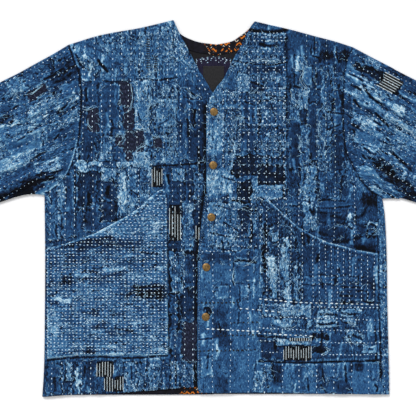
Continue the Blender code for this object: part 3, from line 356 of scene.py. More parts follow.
        (62, 82, 80, 96, 28, .44, "calm patch"), (50, 86, 62, 96, 30, .24, "calm patch"),
        (56, 96, 80, 106, 34, .50, "worn patch"), (30, 100, 58, 110, 26, .46, "worn patch"),
        (28, 110, 48, 120, 20, .56, "worn patch"), (7, 134, 42, 153, 16, .52, "calm patch"),
        (50, 110, 80, 124, 26, .46, "worn patch"), (46, 128, 72, 142, 16, .36, "calm patch"),
        (0, 154, 34, 162, 22, .60, "worn soft"), (0, 164, 28, 172, 20, .58, "worn soft"),
        (36, 160, 60, 172, 14, .50, "worn patch"), (34, 181, 60, 193, 22, .58, "calm patch"),
        # these two and the first on the next line are painted shade under the big fold near the armpit
        (8, 190, 34, 202, 20, .02, "calm soft"), (24, 182, 44, 191, 24, .02, "calm soft"),
        (44, 176, 56, 180, 4, .06, "calm soft"), (54, 60, 66, 72, 24, .30, "calm patch"),
        (-14, 140, 0, 160, 20, .50, "patch"), (-70, 120, -30, 150, 24, .45, "patch"),
        (-120, 150, -80, 180, 24, .30, "calm patch"), (-60, 170, -20, 200, 22, .40, "worn patch"),
    ],
    "leftSleeve": [
        (345, 50, 416, 90, 0, .36, "soft"), (350, 110, 416, 150, 0, .42, "worn soft"),
        (350, 150, 416, 200, 0, .40, "soft"), (392, 126, 426, 150, -30, .62, "worn soft"),
        (345, 62, 356, 84, 0, .50, "calm soft"), (352, 66, 368, 73, -42, .08, "calm hole"),
        (362, 69, 384, 80, -22, .15, "calm hole"), (344, 96, 352, 112, -20, .26, "calm patch"),
        (356, 86, 364, 98, -34, .48, "worn patch"), (366, 84, 378, 92, -34, .52, "worn patch"),
        (372, 92, 384, 100, -30, .52, "worn patch"), (380, 98, 396, 108, -32, .42, "calm patch"),
        (390, 106, 404, 116, -30, .62, "worn patch"), (400, 96, 424, 110, -30, .30, "calm patch"),
        (352, 114, 362, 122, -24, .54, "worn patch"), (362, 118, 376, 130, -24, .56, "worn patch"),
        (355, 131, 382, 146, -14, .52, "calm patch"), (384, 116, 404, 126, -36, .52, "worn patch"),
        (384, 137, 391, 144, -30, .40, "patch"), (372, 150, 392, 158, -28, .46, "worn patch"),
        (350, 148, 364, 164, -24, .34, "calm soft"), (386, 164, 407, 175, -26, .54, "worn patch"),
        (359, 171, 386, 182, -24, .48, "calm patch"), (369, 188, 382.5, 192, -10, .66, "worn patch"),
        # the last on this line and the first on the next are painted shade in a deep fold
        (371.5, 191, 381, 197, 0, .36, "calm patch"), (372, 162, 400, 178, -34, .10, "worn soft"),
        (396, 180, 418, 196, -38, .05, "worn soft"), (396, 186, 410, 190, -30, .54, "calm soft"),
        (384, 60, 410, 76, -28, .30, "calm soft"), (364, 56, 382, 66, -28, .44, "worn patch"),
        (440, 120, 480, 150, -26, .45, "patch"), (480, 160, 520, 190, -26, .30, "calm patch"),
    ],
    "back": [
        (376, 190, 396, 400, 0, .46, "worn soft"), (380, 262, 390, 286, 0, .50, "worn patch"),
        (380, 330, 390, 356, 0, .36, "worn patch"), (60, 40, 160, 160, 0, .42, "soft"),
        (180, 60, 300, 200, 0, .32, "calm soft"), (60, 200, 200, 380, 0, .38, "soft"),
        (230, 220, 370, 380, 0, .34, "calm soft"), (90, 60, 130, 120, 0, .50, "worn patch"),
        (140, 100, 190, 180, 0, .26, "calm patch"), (210, 50, 270, 110, 0, .44, "patch"),
        (280, 80, 330, 170, 0, .34, "worn patch"), (70, 180, 120, 260, 0, .46, "patch"),
        (150, 210, 230, 290, 0, .36, "worn patch"), (250, 190, 300, 250, 0, .2, "plum hole"),
        (310, 220, 370, 300, 0, .48, "patch"), (60, 290, 130, 370, 0, .32, "calm patch"),
        (150, 310, 220, 380, 0, .50, "worn patch"), (240, 300, 300, 370, 0, .28, "patch"),
        (110, 140, 128, 168, 0, .2, "plum hole"),
    ],
}

# threads laid side by side over a worn place: panel, two corners, turn,
# number of threads, colours in turn
ladders = [
    ("rightFront", 152, 167, 162, 187, 0, 9, "white black"),
    ("rightFront", 169.5, 205, 180.5, 240.5, 0, 9, "white black"),
    ("rightFront", 196, 225.6, 202, 242, 0, 5, "white black"),
    ("rightFront", 97, 361.5, 113.5, 376.5, 0, 13, "white black"),
    ("rightFront", 104.5, 376.5, 123, 391.5, 0, 15, "white black"),
    ("rightFront", 44.3, 362, 47.8, 370.4, 90, 4, "black"), ("rightFront", 145, 39.5, 149.6, 67.7, 90, 13, "black"),
    ("rightFront", 153, 57, 157.4, 70, 90, 7, "black"), ("leftPocket", 283.5, 345, 311, 361, 0, 23, "white black"),
    ("leftPocket", 290, 337.6, 311, 341, 0, 19, "white black"),
    ("leftSleeve", 382.3, 72, 397.6, 95, 62, 13, "white black"),
]

# sewn rows: two corners, turn, spacing in mm, thread
sewing = {
    "rightFront": [
        (85, 32, 186, 80, 0, 16.8, "running"), (92.5, 84, 137, 163, 0, 16.4, "running"),
        (82.8, 64, 82.8, 160, 0, 1, "running"), (146, 84, 172.5, 163, 0, 16.4, "faint"),
        (181, 88, 199, 163, 0, 16, "running"), (74.6, 164, 112, 236, 0, 17.3, "running"),
        (50, 170, 66, 240, 0, 15, "running"), (120, 170, 148, 222, 0, 17, "running"),
        (163.8, 168, 198.7, 250, 0, 16.2, "running"), (175.7, 254, 193, 388, 0, 16, "running"),
        (52, 362, 91, 394, 0, 18, "running"), (127, 362, 172.5, 390, 0, 17, "running"),
    ],
    "leftFront": [
        (223, 92, 284, 198, 0, 15.6, "running"), (223, 92, 285, 198, 90, 15.6, "running"),
        (240, 56, 284, 88, 0, 15.6, "running"), (240, 52, 285, 88, 90, 15.6, "running"),
        (307, 34, 335, 188, 0, 17.3, "faint"), (208, 198, 286, 246, 0, 16, "running"),
        (232, 200, 262, 246, 90, 16, "running"), (207, 90, 218, 150, 0, 18, "running"),
        (212.8, 254, 248, 392, 0, 32.5, "running"), (264.7, 364, 368.6, 394, 0, 32, "running"),
        (298.8, 190, 298.8, 224, 0, 1, "column"), (334.2, 188, 334.2, 240, 0, 1, "column"),
        (354.6, 186, 354.6, 240, 0, 1, "column"), (254, 34, 285, 41, 90, 7, "fine"),
    ],
    "back": [(384.4, 238, 388.8, 392, 0, 8, "faint")],
    "rightPocket": [(47, 192, 166, 353, 90, 6.2, "fine")],
    "leftPocket": [(313.2, 236, 373.5, 300, 0, 11.15, "column"), (266.7, 206, 302.5, 298, 0, 22, "column")],
    "rightSleeve": [(-122, -14, 42, 290, 118, 17, "dots")],
    "leftSleeve": [(374, -14, 536, 290, 62, 17, "dots")],
}

# single rows: panel, thread, then the points
sewnLines = [
    ("leftPocket", "bold", 260.6, 299, 300, 302.6, 377, 304.6),
    ("leftPocket", "fine", 262, 304.7, 300, 306.4, 377, 307.6), ("leftPocket", "bold", 260, 310, 279, 312),
    ("leftFront", "bold", 241, 308.5, 259, 310), ("leftPocket", "fine", 262, 315.7, 292, 317.6, 378, 319.9),
    ("leftPocket", "fine", 260, 327.5, 292, 329.5, 378, 331),
    ("leftPocket", "bold", 259.5, 333, 292, 335, 311, 336), ("leftPocket", "fine", 261, 340.2, 282, 341.2),
    ("leftPocket", "fine", 320, 342.4, 379, 342.6), ("leftPocket", "fine", 262, 351.6, 281, 352.3),
    ("leftPocket", "fine", 322, 354.5, 379, 354.5), ("leftFront", "black", 202, 302.7, 238, 302.7),
    ("leftFront", "black", 234.5, 322.8, 257, 322), ("leftFront", "black", 217, 335.8, 257, 334.8),
    ("leftFront", "black", 200, 351, 255, 349.8), ("leftFront", "bold", 208, 328.8, 258, 331.4),
    ("leftFront", "fine", 199, 251.4, 240, 251), ("rightFront", "running", 102, 163, 102, 222),
]

# torn edges of patches, along which pale threads lie: panel and points
tornEdges = [
    ("rightFront", 133, 77, 142, 78, 150, 73, 157, 71, 162, 67),
    ("rightFront", 176, 82, 180, 89, 186, 89, 189, 96, 194, 100, 197, 97, 202, 103, 206, 104),
    ("rightFront", 131, 82, 133, 96, 131, 108, 123, 114), ("rightFront", 113, 139, 119, 134, 127, 134),
    ("rightFront", 142, 79, 147, 88, 150, 100, 148, 114, 152, 126),
    ("rightFront", 154, 132, 154, 136, 160, 137, 164, 135), ("rightFront", 144, 132, 145, 144, 138, 150, 135, 156),
    ("rightFront", 88, 114, 88, 126, 94, 131), ("rightFront", 82, 108, 88, 110, 97, 107),
    ("rightFront", 115, 134, 120, 135, 124, 140, 118, 146), ("rightSleeve", 8, 82, 12, 90, 22, 100),
    ("rightSleeve", 24, 96, 34, 92, 44, 84), ("leftFront", 246, 63, 259, 60, 271, 61, 285, 63),
    ("leftFront", 224, 73, 229, 67, 235, 68), ("leftFront", 231, 122, 237, 118, 243, 118, 243, 124),
    ("leftFront", 290, 90, 293, 98, 299, 104, 303, 110), ("leftFront", 295, 132, 301, 140, 299, 150, 305, 158),
    ("leftFront", 300, 60, 304, 70, 302, 80, 308, 88), ("leftFront", 320, 120, 318, 134, 324, 142, 320, 156),
    ("leftFront", 234, 260, 241, 264, 248, 264, 258, 256), ("leftFront", 235, 260, 233, 276, 236, 286),
    ("leftPocket", 268, 260, 276, 264, 274, 272, 272, 278), ("leftPocket", 284, 244, 286, 256, 284, 268, 287, 280),
    ("leftPocket", 277, 307, 286, 310, 296, 311, 308, 308), ("leftPocket", 318, 315, 328, 312, 338, 314),
    ("leftPocket", 269, 320, 280, 323, 288, 328, 296, 321), ("leftPocket", 315, 320, 322, 326, 332, 326),
    ("leftPocket", 340, 336, 348, 338, 354, 344, 362, 341), ("leftPocket", 318, 345, 328, 350, 320, 355),
    ("leftPocket", 344, 318, 350, 324, 360, 325),
]


def smoothCurve(points, steps=14):
    table = np.array(points, float)
    padded = np.vstack([2 * table[0] - table[1], table, 2 * table[-1] - table[-2]])
    t = np.linspace(0, 1, steps, endpoint=False)[:, None]
    pieces = []
    for a, b, c, d in zip(padded, padded[1:], padded[2:], padded[3:]):
        bend = (2 * a - 5 * b + 4 * c - d) * t ** 2 + (3 * b - 3 * c + d - a) * t ** 3
        pieces.append(0.5 * (2 * b + (c - a) * t + bend))
    return np.vstack(pieces + [table[-1:]])


def shareAlong(curve):
    run = np.concatenate([[0.0], np.cumsum(np.linalg.norm(np.diff(curve, axis=0), axis=1))])
    return run / run[-1]


def along(curve, shares):
    run = shareAlong(curve)
    return np.stack([np.interp(shares, run, curve[:, k]) for k in range(curve.shape[1])], axis=1)


def evenly(points, count):
    return along(smoothCurve(points), np.linspace(0, 1, count + 1))


def joined(*parts):
    return np.vstack([parts[0]] + [part[1:] for part in parts[1:]])


def sideNormals(curve, toward):
    tangent = np.gradient(curve, axis=0)
    normal = np.stack([-tangent[:, 1], tangent[:, 0]], axis=1)
    normal /= np.maximum(np.linalg.norm(normal, axis=1), 1e-9)[:, None]
    facing = np.sum(normal * (np.array(toward) - curve), axis=1)
    return normal * np.where(facing < 0, -1, 1)[:, None]


def smoothstep(x):
    x = np.clip(x, 0, 1)
    return x * x * (3 - 2 * x)


def distanceTo(path, x, y):
    best = np.full(np.shape(x), 1e9)
    for (ax, ay), (bx, by) in zip(path[:-1], path[1:]):
        dx, dy = bx - ax, by - ay
        share = np.clip(((x - ax) * dx + (y - ay) * dy) / max(dx * dx + dy * dy, 1e-9), 0, 1)
        best = np.minimum(best, np.hypot(x - ax - share * dx, y - ay - share * dy))
    return best


def nearBox(path, x, y, reach):  # the points close enough to a path to matter
    low, high = path.min(axis=0) - reach, path.max(axis=0) + reach
    return (x > low[0]) & (x < high[0]) & (y > low[1]) & (y < high[1])


mixers = (374761393, 668265263, 974711, 1274126177)  # large odd numbers for the noise


def valueNoise(x, y, cell, seed):  # smooth noise from 0 to 1, one value to a cell
    gx, gy = x / cell, y / cell
    ix, iy = np.floor(gx).astype(np.int64), np.floor(gy).astype(np.int64)
    fx, fy = smoothstep(gx - ix), smoothstep(gy - iy)

    def corner(a, b):  # a mixed-up number for a cell's corner, always the same for the same seed
        h = (a * mixers[0] + b * mixers[1] + seed * mixers[2]) & 0xFFFFFFFF
        h = ((h ^ (h >> 13)) * mixers[3]) & 0xFFFFFFFF
        return ((h ^ (h >> 16)) & 0xFFFF) / 65535.0

    low = corner(ix, iy) * (1 - fx) + corner(ix + 1, iy) * fx
    high = corner(ix, iy + 1) * (1 - fx) + corner(ix + 1, iy + 1) * fx
    return low * (1 - fy) + high * fy


outlineKeys = [
    "shoulderRight", "shoulderLeft", "sleeveTopRight", "sleeveTopLeft",
    "sleeveLowRight", "sleeveLowLeft", "sideRight", "sideLeft",
]
outlinePaths = [smoothCurve(outline[key], 4) for key in outlineKeys]


def edgeDistance(x, y):
    edge = np.full(np.shape(x), 1e9)
    for path in outlinePaths:
        edge = np.minimum(edge, distanceTo(path, x, y))
    return edge


def ridge(x, y, row):  # run along and distance across one fold, with soft ends
    ax, ay, bx, by, rise, width = row
    length = math.hypot(bx - ax, by - ay)
    ux, uy = (bx - ax) / length, (by - ay) / length
    run = (x - ax) * ux + (y - ay) * uy
    off = (x - ax) * -uy + (y - ay) * ux
    ends = smoothstep(0.5 + run / (0.45 * length)) * smoothstep(0.5 + (length - run) / (0.45 * length))
    return rise * np.exp(-(off / width) ** 2) * ends


foldFade = {"middle": 5, "band": 26, "cuff": 690, "cuffFade": 50, "edge": 15}  # where the folds die out, in mm


def foldHeight(x, y):
    height = np.zeros(np.shape(x))
    for row in folds:
        height = np.maximum(height, ridge(x, y, row))
    centre = smoothstep((np.abs(x - foldFade["middle"]) - foldFade["band"]) / foldFade["band"])
    cuff = smoothstep((foldFade["cuff"] - np.abs(x)) / foldFade["cuffFade"])
    return height * smoothstep((edgeDistance(x, y) - foldRadius - 1) / foldFade["edge"]) * centre * cuff


def creaseDepth(x, y):  # grooves that pull in between the folds
    wander = (valueNoise(x, y, 17, 5) - 0.5) * 6
    sideX, sideY = x + wander * 0.4, y + wander
    depth = np.zeros(np.shape(x))
    for rise, width, *numbers in creases:
        path = photoPath(numbers)
        near = nearBox(path, sideX, sideY, 3 * width)
        away = distanceTo(path, sideX[near], sideY[near])
        depth[near] += rise * np.exp(-(away / width) ** 2)
    return depth


overlap = {"rise": 2.3, "inset": 14, "fade": 28, "flatFrom": 26, "flatFade": 10, "flatTop": 215}  # millimetres


def overlapRise(x, y):  # the upper front is lifted where it lies over the lower one
    upper = [np.array(edges[key], float) for key in ("underHigh", "underNeck")]
    edge = joined(smoothCurve(edges["underEdge"]), *upper)
    under = np.interp(y, edge[:, 1], edge[:, 0])
    return overlap["rise"] * smoothstep(1 - (x - under - overlap["inset"]) / overlap["fade"])


def coons(bottom, top, inner, outer):
    u = np.linspace(0, 1, len(bottom))[None, :, None]
    v = 0.5 * (shareAlong(inner) + shareAlong(outer))[:, None, None]
    rows = (1 - v) * bottom[None] + v * top[None]
    columns = (1 - u) * inner[:, None] + u * outer[:, None]
    low = (1 - u) * bottom[0] + u * bottom[-1]
    high = (1 - u) * top[0] + u * top[-1]
    return rows + columns - (1 - v) * low - v * high


def mitre(first, second):
    return foldRadius * (first + second) / (1 + float(np.dot(first, second)))


def firstNormal(table, atEnd):
    a, b = (table[-2], table[-1]) if atEnd else (table[0], table[1])
    step = np.array(b, float) - np.array(a, float)
    normal = np.array([-step[1], step[0]]) / np.linalg.norm(step)
    return normal if normal[1] > 0 else -normal


def armSeam(side):  # armhole line one fold radius inside the outline
    sign = -1.0 if side == "Right" else 1.0
    topOffset = mitre(firstNormal(outline["shoulder" + side], True), firstNormal(outline["sleeveTop" + side], False))
    lowOffset = mitre(np.array([sign, 0.0]), np.array([0.0, -1.0]))
    table = [np.array(p, float) for p in outline["arm" + side]]
    table[0] = table[0] - topOffset
    table[-1] = table[-1] - lowOffset
    curve = smoothCurve(table)
    corner = outline["side" + side][-1][0]
    near = np.abs(curve[:, 0] - corner) < outline["seamIn" + side][-1] - 0.001
    start = shareAlong(curve)[int(np.argmax(near))]
    return {"curve": curve, "start": start, "topOffset": topOffset, "lowOffset": lowOffset, "sign": sign}


arms = {side: armSeam(side) for side in ("Right", "Left")}


def seamInset(table, shares):
    return np.interp(shares, np.linspace(0, 1, len(table)), table)


def shoulderLine(side, columns):
    line = evenly(outline["shoulder" + side], columns)
    offset = foldRadius * sideNormals(line, (line[0] + line[-1]) / 2 + np.array([0, 900]))
    offset[-1] = arms[side]["topOffset"]
    return line - offset, offset


def panelPlan(side, inner, hem, rows, columns, armEnd, seamIn):  # hem to shoulder and centre to side
    arm = arms[side]
    inside = joined(*(evenly(line, count) for line, count in zip(inner, rows)))
    line = evenly(outline["side" + side], rows[0])
    shares = np.linspace(0, 1, rows[0] + 1)
    armPoints = along(arm["curve"], np.linspace(0, armEnd, rows[1] + rows[2] + 1))[::-1]
    line[:, 0] -= arm["sign"] * seamInset(seamIn, shares)
    line[:, 1] += (armPoints[0][1] - line[-1][1]) * shares
    line[-1] = armPoints[0]
    outside = joined(line, armPoints)
    inset, offset = shoulderLine(side, columns)
    inside[-1] = inset[0]
    inset[-1] = outside[-1]
    bottom = evenly(hem, columns)
    bottom += (inside[0] - bottom[0]) * np.linspace(1, 0, columns + 1)[:, None]
    bottom += (outside[0] - bottom[-1]) * np.linspace(0, 1, columns + 1)[:, None]
    return coons(bottom, inset, inside, outside), offset, line


def lifted(plan, z):
    z = np.broadcast_to(np.asarray(z, float), plan.shape[:-1])
    return np.concatenate([plan, z[..., None]], axis=-1)


def turnedOver(line, out, angles, height):  # rows of cloth rolled over from a line, at angles from upright
    rows = []
    for angle in angles:
        away, up = math.sin(math.radians(angle)), math.cos(math.radians(angle))
        rows.append(lifted(line + out * away, foldRadius + height * up))
    return np.array(rows)


def addMesh(name, points, quads, values=None, weave=None, smooth=True):  # millimetre points to an object
    mesh = bpy.data.meshes.new(name)
    mesh.from_pydata((points * mm).tolist(), [], quads)
    mesh.update()
    for key, value in (values or {}).items():
        layer = mesh.attributes.new(key, "FLOAT", "POINT")
        layer.data.foreach_set("value", np.ascontiguousarray(value, np.float32).ravel())
    if weave is not None:
        corners = np.zeros(len(mesh.loops), np.int32)
        mesh.loops.foreach_get("vertex_index", corners)
        layer = mesh.uv_layers.new(name="weave")
        layer.data.foreach_set("uv", np.ascontiguousarray(weave[corners], np.float32).ravel())
    mesh.polygons.foreach_set("use_smooth", [smooth] * len(mesh.polygons))
    item = bpy.data.objects.new(name, mesh)
    bpy.context.scene.collection.objects.link(item)
    return item


def gridQuads(rows, columns, offset=0, flip=False):
    index = np.arange(rows * columns).reshape(rows, columns) + offset
    a, b, c, d = index[:-1, :-1], index[:-1, 1:], index[1:, 1:], index[1:, :-1]
    quads = np.stack([a, d, c, b] if flip else [a, b, c, d], axis=-1).reshape(-1, 4)
    return quads.tolist()


def gridFacesUp(points):  # True where the grid's winding already looks up
    a = points[1, 1, :2] - points[0, 1, :2]
    b = points[0, 2, :2] - points[0, 1, :2]
    return b[0] * a[1] - b[1] * a[0] > 0


def gridObject(name, points, values=None, weave=None):
    rows, columns = points.shape[:2]
    middle = points[rows // 2 - 1:rows // 2 + 2, columns // 2 - 1:columns // 2 + 2]
    quads = gridQuads(rows, columns, flip=not gridFacesUp(middle))
    flat = {key: value.reshape(-1) for key, value in (values or {}).items()}
    uv = None if weave is None else weave.reshape(-1, 2)
    return addMesh(name, points.reshape(-1, 3), quads, flat, uv)


def repeatEdge(grid, axis, end, count=4):  # one more row of values for each row of cloth that is turned down
    strip = np.repeat(np.take(grid, [end], axis=axis), count, axis=axis)
    return np.concatenate((grid, strip) if end == -1 else (strip, grid), axis=axis)


gridSides = {"low": (0, 0, 1), "high": (0, -1, -2), "first": (1, 0, 1), "last": (1, -1, -2)}
rimRows = [(0.45, 0.25), (0.6, 0.55), (0.45, 0.85), (0.0, 1.0)]  # reach outward in mm and share of the drop


def rimmed(points, values, weave, sides, depth):  # rolls the cloth's edge down on the named sides
    for side in sides:
        axis, end, beside = gridSides[side]
        edge, inner = np.take(points, end, axis=axis), np.take(points, beside, axis=axis)
        out = edge[:, :2] - inner[:, :2]
        out /= np.maximum(np.linalg.norm(out, axis=1), 1e-9)[:, None]
        rows = []
        for reach, drop in rimRows:
            row = edge.copy()
            row[:, :2] += out * (reach - 0.6) * 0.6
            row[:, 2] -= depth * drop
            rows.append(row)
        extra = np.stack(rows, axis=axis)
        order = (points, extra) if end == -1 else (np.flip(extra, axis=axis), points)
        points = np.concatenate(order, axis=axis)
        values = {key: repeatEdge(value, axis, end) for key, value in values.items()}
        weave = repeatEdge(weave, axis, end)
    return points, values, weave


clothWear = {"calm": 0.14, "worn": 1.0, "plum": 0.1}  # how frayed each cloth is

clothLook = {
    "rightFront": {"base": 0.40, "darns": 150, "grain": 0, "seed": 11},
    "leftFront": {"base": 0.40, "darns": 150, "grain": 0, "seed": 23},
    "rightSleeve": {"base": 0.43, "darns": 120, "grain": 118, "seed": 37},
    "leftSleeve": {"base": 0.42, "darns": 120, "grain": 62, "seed": 41},
    "rightPocket": {"base": 0.55, "darns": 45, "grain": 90, "seed": 53},
    "leftPocket": {"base": 0.34, "darns": 70, "grain": 0, "seed": 61},
    "back": {"base": 0.38, "darns": 160, "grain": 0, "seed": 71},
}

overLine = joined(smoothCurve(edges["overEdge"]), smoothCurve(edges["overHigh"]))
seamShadows = {  # painted shade along the seams and the overlap's edge: path, half width, darkness, painted highlight beside it
    "rightFront": [
        (arms["Right"]["curve"][:75], 1.9, 1.0, 0.06), (arms["Right"]["curve"][74:], 1.1, 0.75, 0.0),
        (overLine - np.array([2.6, 0]), 3.6, 0.95, 0.0),
    ],
    "leftFront": [(arms["Left"]["curve"][35:], 2.4, 0.8, 0.0)],
    "rightSleeve": [(arms["Right"]["curve"][:75], 1.5, 1.0, 0.05), (arms["Right"]["curve"][74:], 0.9, 0.4, 0.34)],
    "leftSleeve": [(arms["Left"]["curve"], 1.6, 0.8, 0.04)],
}


def turned(x, y, cx, cy, degrees):
    c, s = math.cos(math.radians(degrees)), math.sin(math.radians(degrees))
    return (x - cx) * c + (y - cy) * s, -(x - cx) * s + (y - cy) * c


def placed(x0, y0, x1, y1):  # centre and half sizes in millimetres of a marked rectangle
    (left, high), (right, low) = fromPhoto(min(x0, x1), min(y0, y1)), fromPhoto(max(x0, x1), max(y0, y1))
    return (left + right) / 2, (low + high) / 2, (right - left) / 2, (high - low) / 2


def depthInside(mark, turn, x, y, wobbleX=0.0, wobbleY=0.0):  # positive inside the turned rectangle
    cx, cy, halfWide, halfTall = placed(*mark)
    u, v = turned(x, y, cx, cy, turn)
    return np.minimum(halfWide - np.abs(u + wobbleX), halfTall - np.abs(v + wobbleY))


patchEdges = {  # middle and width in mm of the frayed rim and of the painted shadow at the edge, their strength, and the patch's rise
    "hole": ((-2.0, 1.7), (0.6, 1.4), 1.0, -0.7), "patch": ((1.2, 1.5), (-1.6, 1.4), 0.8, 0.7),
}


def uneven(x, y, seed, *waves):  # smooth noise about nought, with the size and height of each wave
    return sum((valueNoise(x, y, size, seed + k) - 0.5) * high for k, (size, high) in enumerate(waves))


def bell(value, middle, width):  # 1 at its middle, fading to both sides
    return np.exp(-((value - middle) / width) ** 2)


def paintCloth(panel, x, y):
    look = clothLook[panel]
    seed = look["seed"]
    wobbleX, wobbleY = (uneven(x, y, start, (11, 7), (4.2, 5)) for start in (seed, seed + 2))
    tone = look["base"] + uneven(x, y, seed + 4, (42, 0.22), (15, 0.16))
    wear = 0.25 + 0.75 * smoothstep(valueNoise(x, y, 26, seed + 8) * 1.5 - 0.2)
    plum, lift, fray, shade = (np.zeros(x.shape) for _ in range(4))
    ragged = valueNoise(x, y, 2.6, seed + 6)
    patchTone = uneven(x, y, seed + 7, (9, 0.16))
    for *mark, turn, value, words in patchworkAndShade[panel]:
        cloth, kind = ("indigo " + words).split()[-2:]
        inside = depthInside(mark, turn, x, y, wobbleX, wobbleY)
        if kind == "soft":
            cover = smoothstep(inside / 10 + 0.5) * 0.85
            tone = tone + (value - tone) * cover
            wear = wear + (clothWear.get(cloth, 0.6) - wear) * cover * 0.8
            continue
        cover = smoothstep(inside / 1.8 + 0.5)
        tone = tone + (value + patchTone - tone) * cover
        if cloth in clothWear:
            wear = wear + (clothWear[cloth] - wear) * cover
        plum = plum + ((1.0 if cloth == "plum" else 0.0) - plum) * cover
        frayed, shaded, share, rise = patchEdges["hole" if kind == "hole" else "patch"]
        lift = lift + rise * cover
        fray = np.maximum(fray * (1 - cover), bell(inside, *frayed) * share)
        shade = np.maximum(shade * (1 - cover), bell(inside, *shaded) * share)
    for owner, *mark, turn, count, colours in ladders:
        if owner == panel and colours != "black":
            cover = smoothstep(depthInside(mark, turn, x, y) / 1.2 + 0.6)
            tone, wear, plum = tone * (1 - cover), wear * (1 - cover), plum * (1 - cover)
    dice = np.random.default_rng(seed)
    spanX, spanY = (x.min(), x.max()), (y.min(), y.max())
    for number in range(look["darns"]):  # small worn slits and frayed strips along the grain
        cx, cy = dice.uniform(*spanX), dice.uniform(*spanY)
        wide, long = dice.uniform(2.0, 6.0), dice.uniform(9, 42)
        u, v = turned(x, y, cx, cy, look["grain"] + dice.normal(0, 5))
        inside = np.minimum(wide / 2 - np.abs(u + wobbleX * 0.5), long / 2 - np.abs(v + wobbleY * 0.6))
        cover = smoothstep(inside / 1.6 + 0.5)
        change = dice.choice([-0.30, 0.26, 0.34, -0.2])
        tone = tone + change * cover
        lift = lift - 0.25 * cover * (1 if change < 0 else -1)
        share = (0.55 if change < 0 else 0.25) * (dice.random() < 0.7)
        fray = np.maximum(fray, bell(inside, -0.8, 1.3) * share)
    # pale frayed threads along the edges, and painted shadow beside the patches and inside the holes
    tone = tone + 0.42 * fray * smoothstep(ragged * 1.7 - 0.25) - 0.34 * shade * smoothstep(ragged * 1.4)
    # dark slits, and painted shade along seams, creases and pocket edges, each with a pale ragged rim
    for width, dark, *numbers in slitsAndShadeLines:
        path = photoPath(numbers)
        near = nearBox(path, x, y, 4 * width)
        away = distanceTo(path, x[near] + wobbleX[near] * 0.22, y[near] + wobbleY[near] * 0.22)
        rim = bell(away, 2.3 * width, width) * smoothstep(ragged[near] * 1.8 - 0.2)
        tone[near] = (tone[near] + 0.26 * dark * rim) * (1 - dark * np.clip(1.5 * bell(away, 0, width), 0, 1))
    # painted shade along the seams and the overlap's edge, with a painted highlight beside some
    for path, width, dark, lit in seamShadows.get(panel, []):
        away = distanceTo(path, x, y)
        tone = (tone + lit * bell(away, 2.2 * width, width)) * (1 - dark * bell(away, 0, width))
    depth, high = creaseDepth(x, y), foldHeight(x, y)  # painted shade in the grooves and painted highlight on the ridges
    tone = tone - 0.09 * np.clip(depth, 0, 5) + 0.10 * np.clip(-depth, 0, 3) + 0.012 * np.clip(high, 0, 6)
    return {"tone": np.clip(tone, 0, 1), "plum": plum, "wear": np.clip(wear, 0, 1)}, lift


def pucker(panel, x, y):  # cloth pulled in along the sewn rows
    height = np.zeros(x.shape)
    for *mark, turn, spacing, thread in sewing.get(panel, []):
        if spacing < 5:
            continue
        cx, cy, halfWide, halfTall = placed(*mark)
        if turn == 90:
            halfWide, halfTall = halfTall, halfWide
        u, v = turned(x, y, cx, cy, turn)
        inside = smoothstep((np.minimum(halfWide - np.abs(u), halfTall - np.abs(v)) + 2) / 6)
        wave = np.abs(np.sin(np.pi * (u + halfWide) / spacing))
        height = np.maximum(height, inside * 0.45 * wave)
    return height


def smallRelief(panel, x, y):
    seed = clothLook[panel]["seed"]
    rough = uneven(x, y, seed + 21, (6.5, 0.9), (17, 1.3))
    calm = np.ones(x.shape)
    for sx, sy in snapPlaces:
        calm = np.minimum(calm, smoothstep((np.hypot(x - sx, y - sy) - 8) / 8))
    return rough * calm, calm


def weaveMap(panel, x, y):
    u, v = turned(x, y, 0, 0, clothLook[panel]["grain"])
    return np.stack([u, v], axis=-1) * mm


snapPlaces = [(11.1, 178.3), (9.6, 79.6), (6.3, -16.6), (-3.0, -108.9), (-4.3, -200.6)]
surfaces = {}  # ray targets for the stitches


def wrinkled(x, y):  # height of the broad folds less the grooves between them
    return foldHeight(x, y) - np.clip(creaseDepth(x, y), -4, 5)


def clothHeight(panel, x, y, lift):
    rough, calm = smallRelief(panel, x, y)
    z = wrinkled(x, y) + (rough + lift + pucker(panel, x, y)) * calm
    return topHeight + np.maximum(z, -1.2)


def settled(z, x, y):  # the cloth comes down to its own fold at the outline
    return z + (topHeight - z) * smoothstep(1 - (edgeDistance(x, y) - foldRadius) / 5)


shoulderTurn = (25, 50, 70, 88)
sleeveTurn = (25, 50, 75, 105, 130, 155)
stripTurn = (180, 155, 130, 105, 80, 55, 30, 0)


frontSpans = {"rows": (372, 154, 190), "columns": 325}  # mm of side, lower and upper armhole, and across
backSpans = {"rows": (372, 274, 90), "columns": 320}
sleeveCells = {"along": 205, "top": 128, "back": 40}


def makeFront(name, side, inner, hem, over):
    step = fabric["gridStep"]
    rows = [int(round(length / step)) for length in frontSpans["rows"]]
    columns = int(round(frontSpans["columns"] / step))
    plan, offset, _ = panelPlan(side, inner, hem, rows, columns, arms[side]["start"], outline["seamIn" + side])
    x, y = plan[..., 0], plan[..., 1]
    values, lift = paintCloth(name, x, y)
    z = clothHeight(name, x, y, lift)
    if over:
        z = z + overlapRise(x, y)
    else:  # the lower front stays flat under the upper one
        under = smoothstep((x + overlap["flatFrom"]) / overlap["flatFade"]) * (y < overlap["flatTop"])
        z = z * (1 - under) + topHeight * under
    points = lifted(plan, settled(z, x, y))
    turn = turnedOver(plan[-1], offset, shoulderTurn, points[-1, :, 2] - foldRadius)
    points = np.concatenate([points, turn], axis=0)
    values = {key: repeatEdge(value, 0, -1) for key, value in values.items()}
    weave = repeatEdge(weaveMap(name, x, y), 0, -1)
    surfaces[name] = gridObject(name, *rimmed(points, values, weave, ["low", "first", "last"], fabric["hemWall"]))
    return surfaces[name]


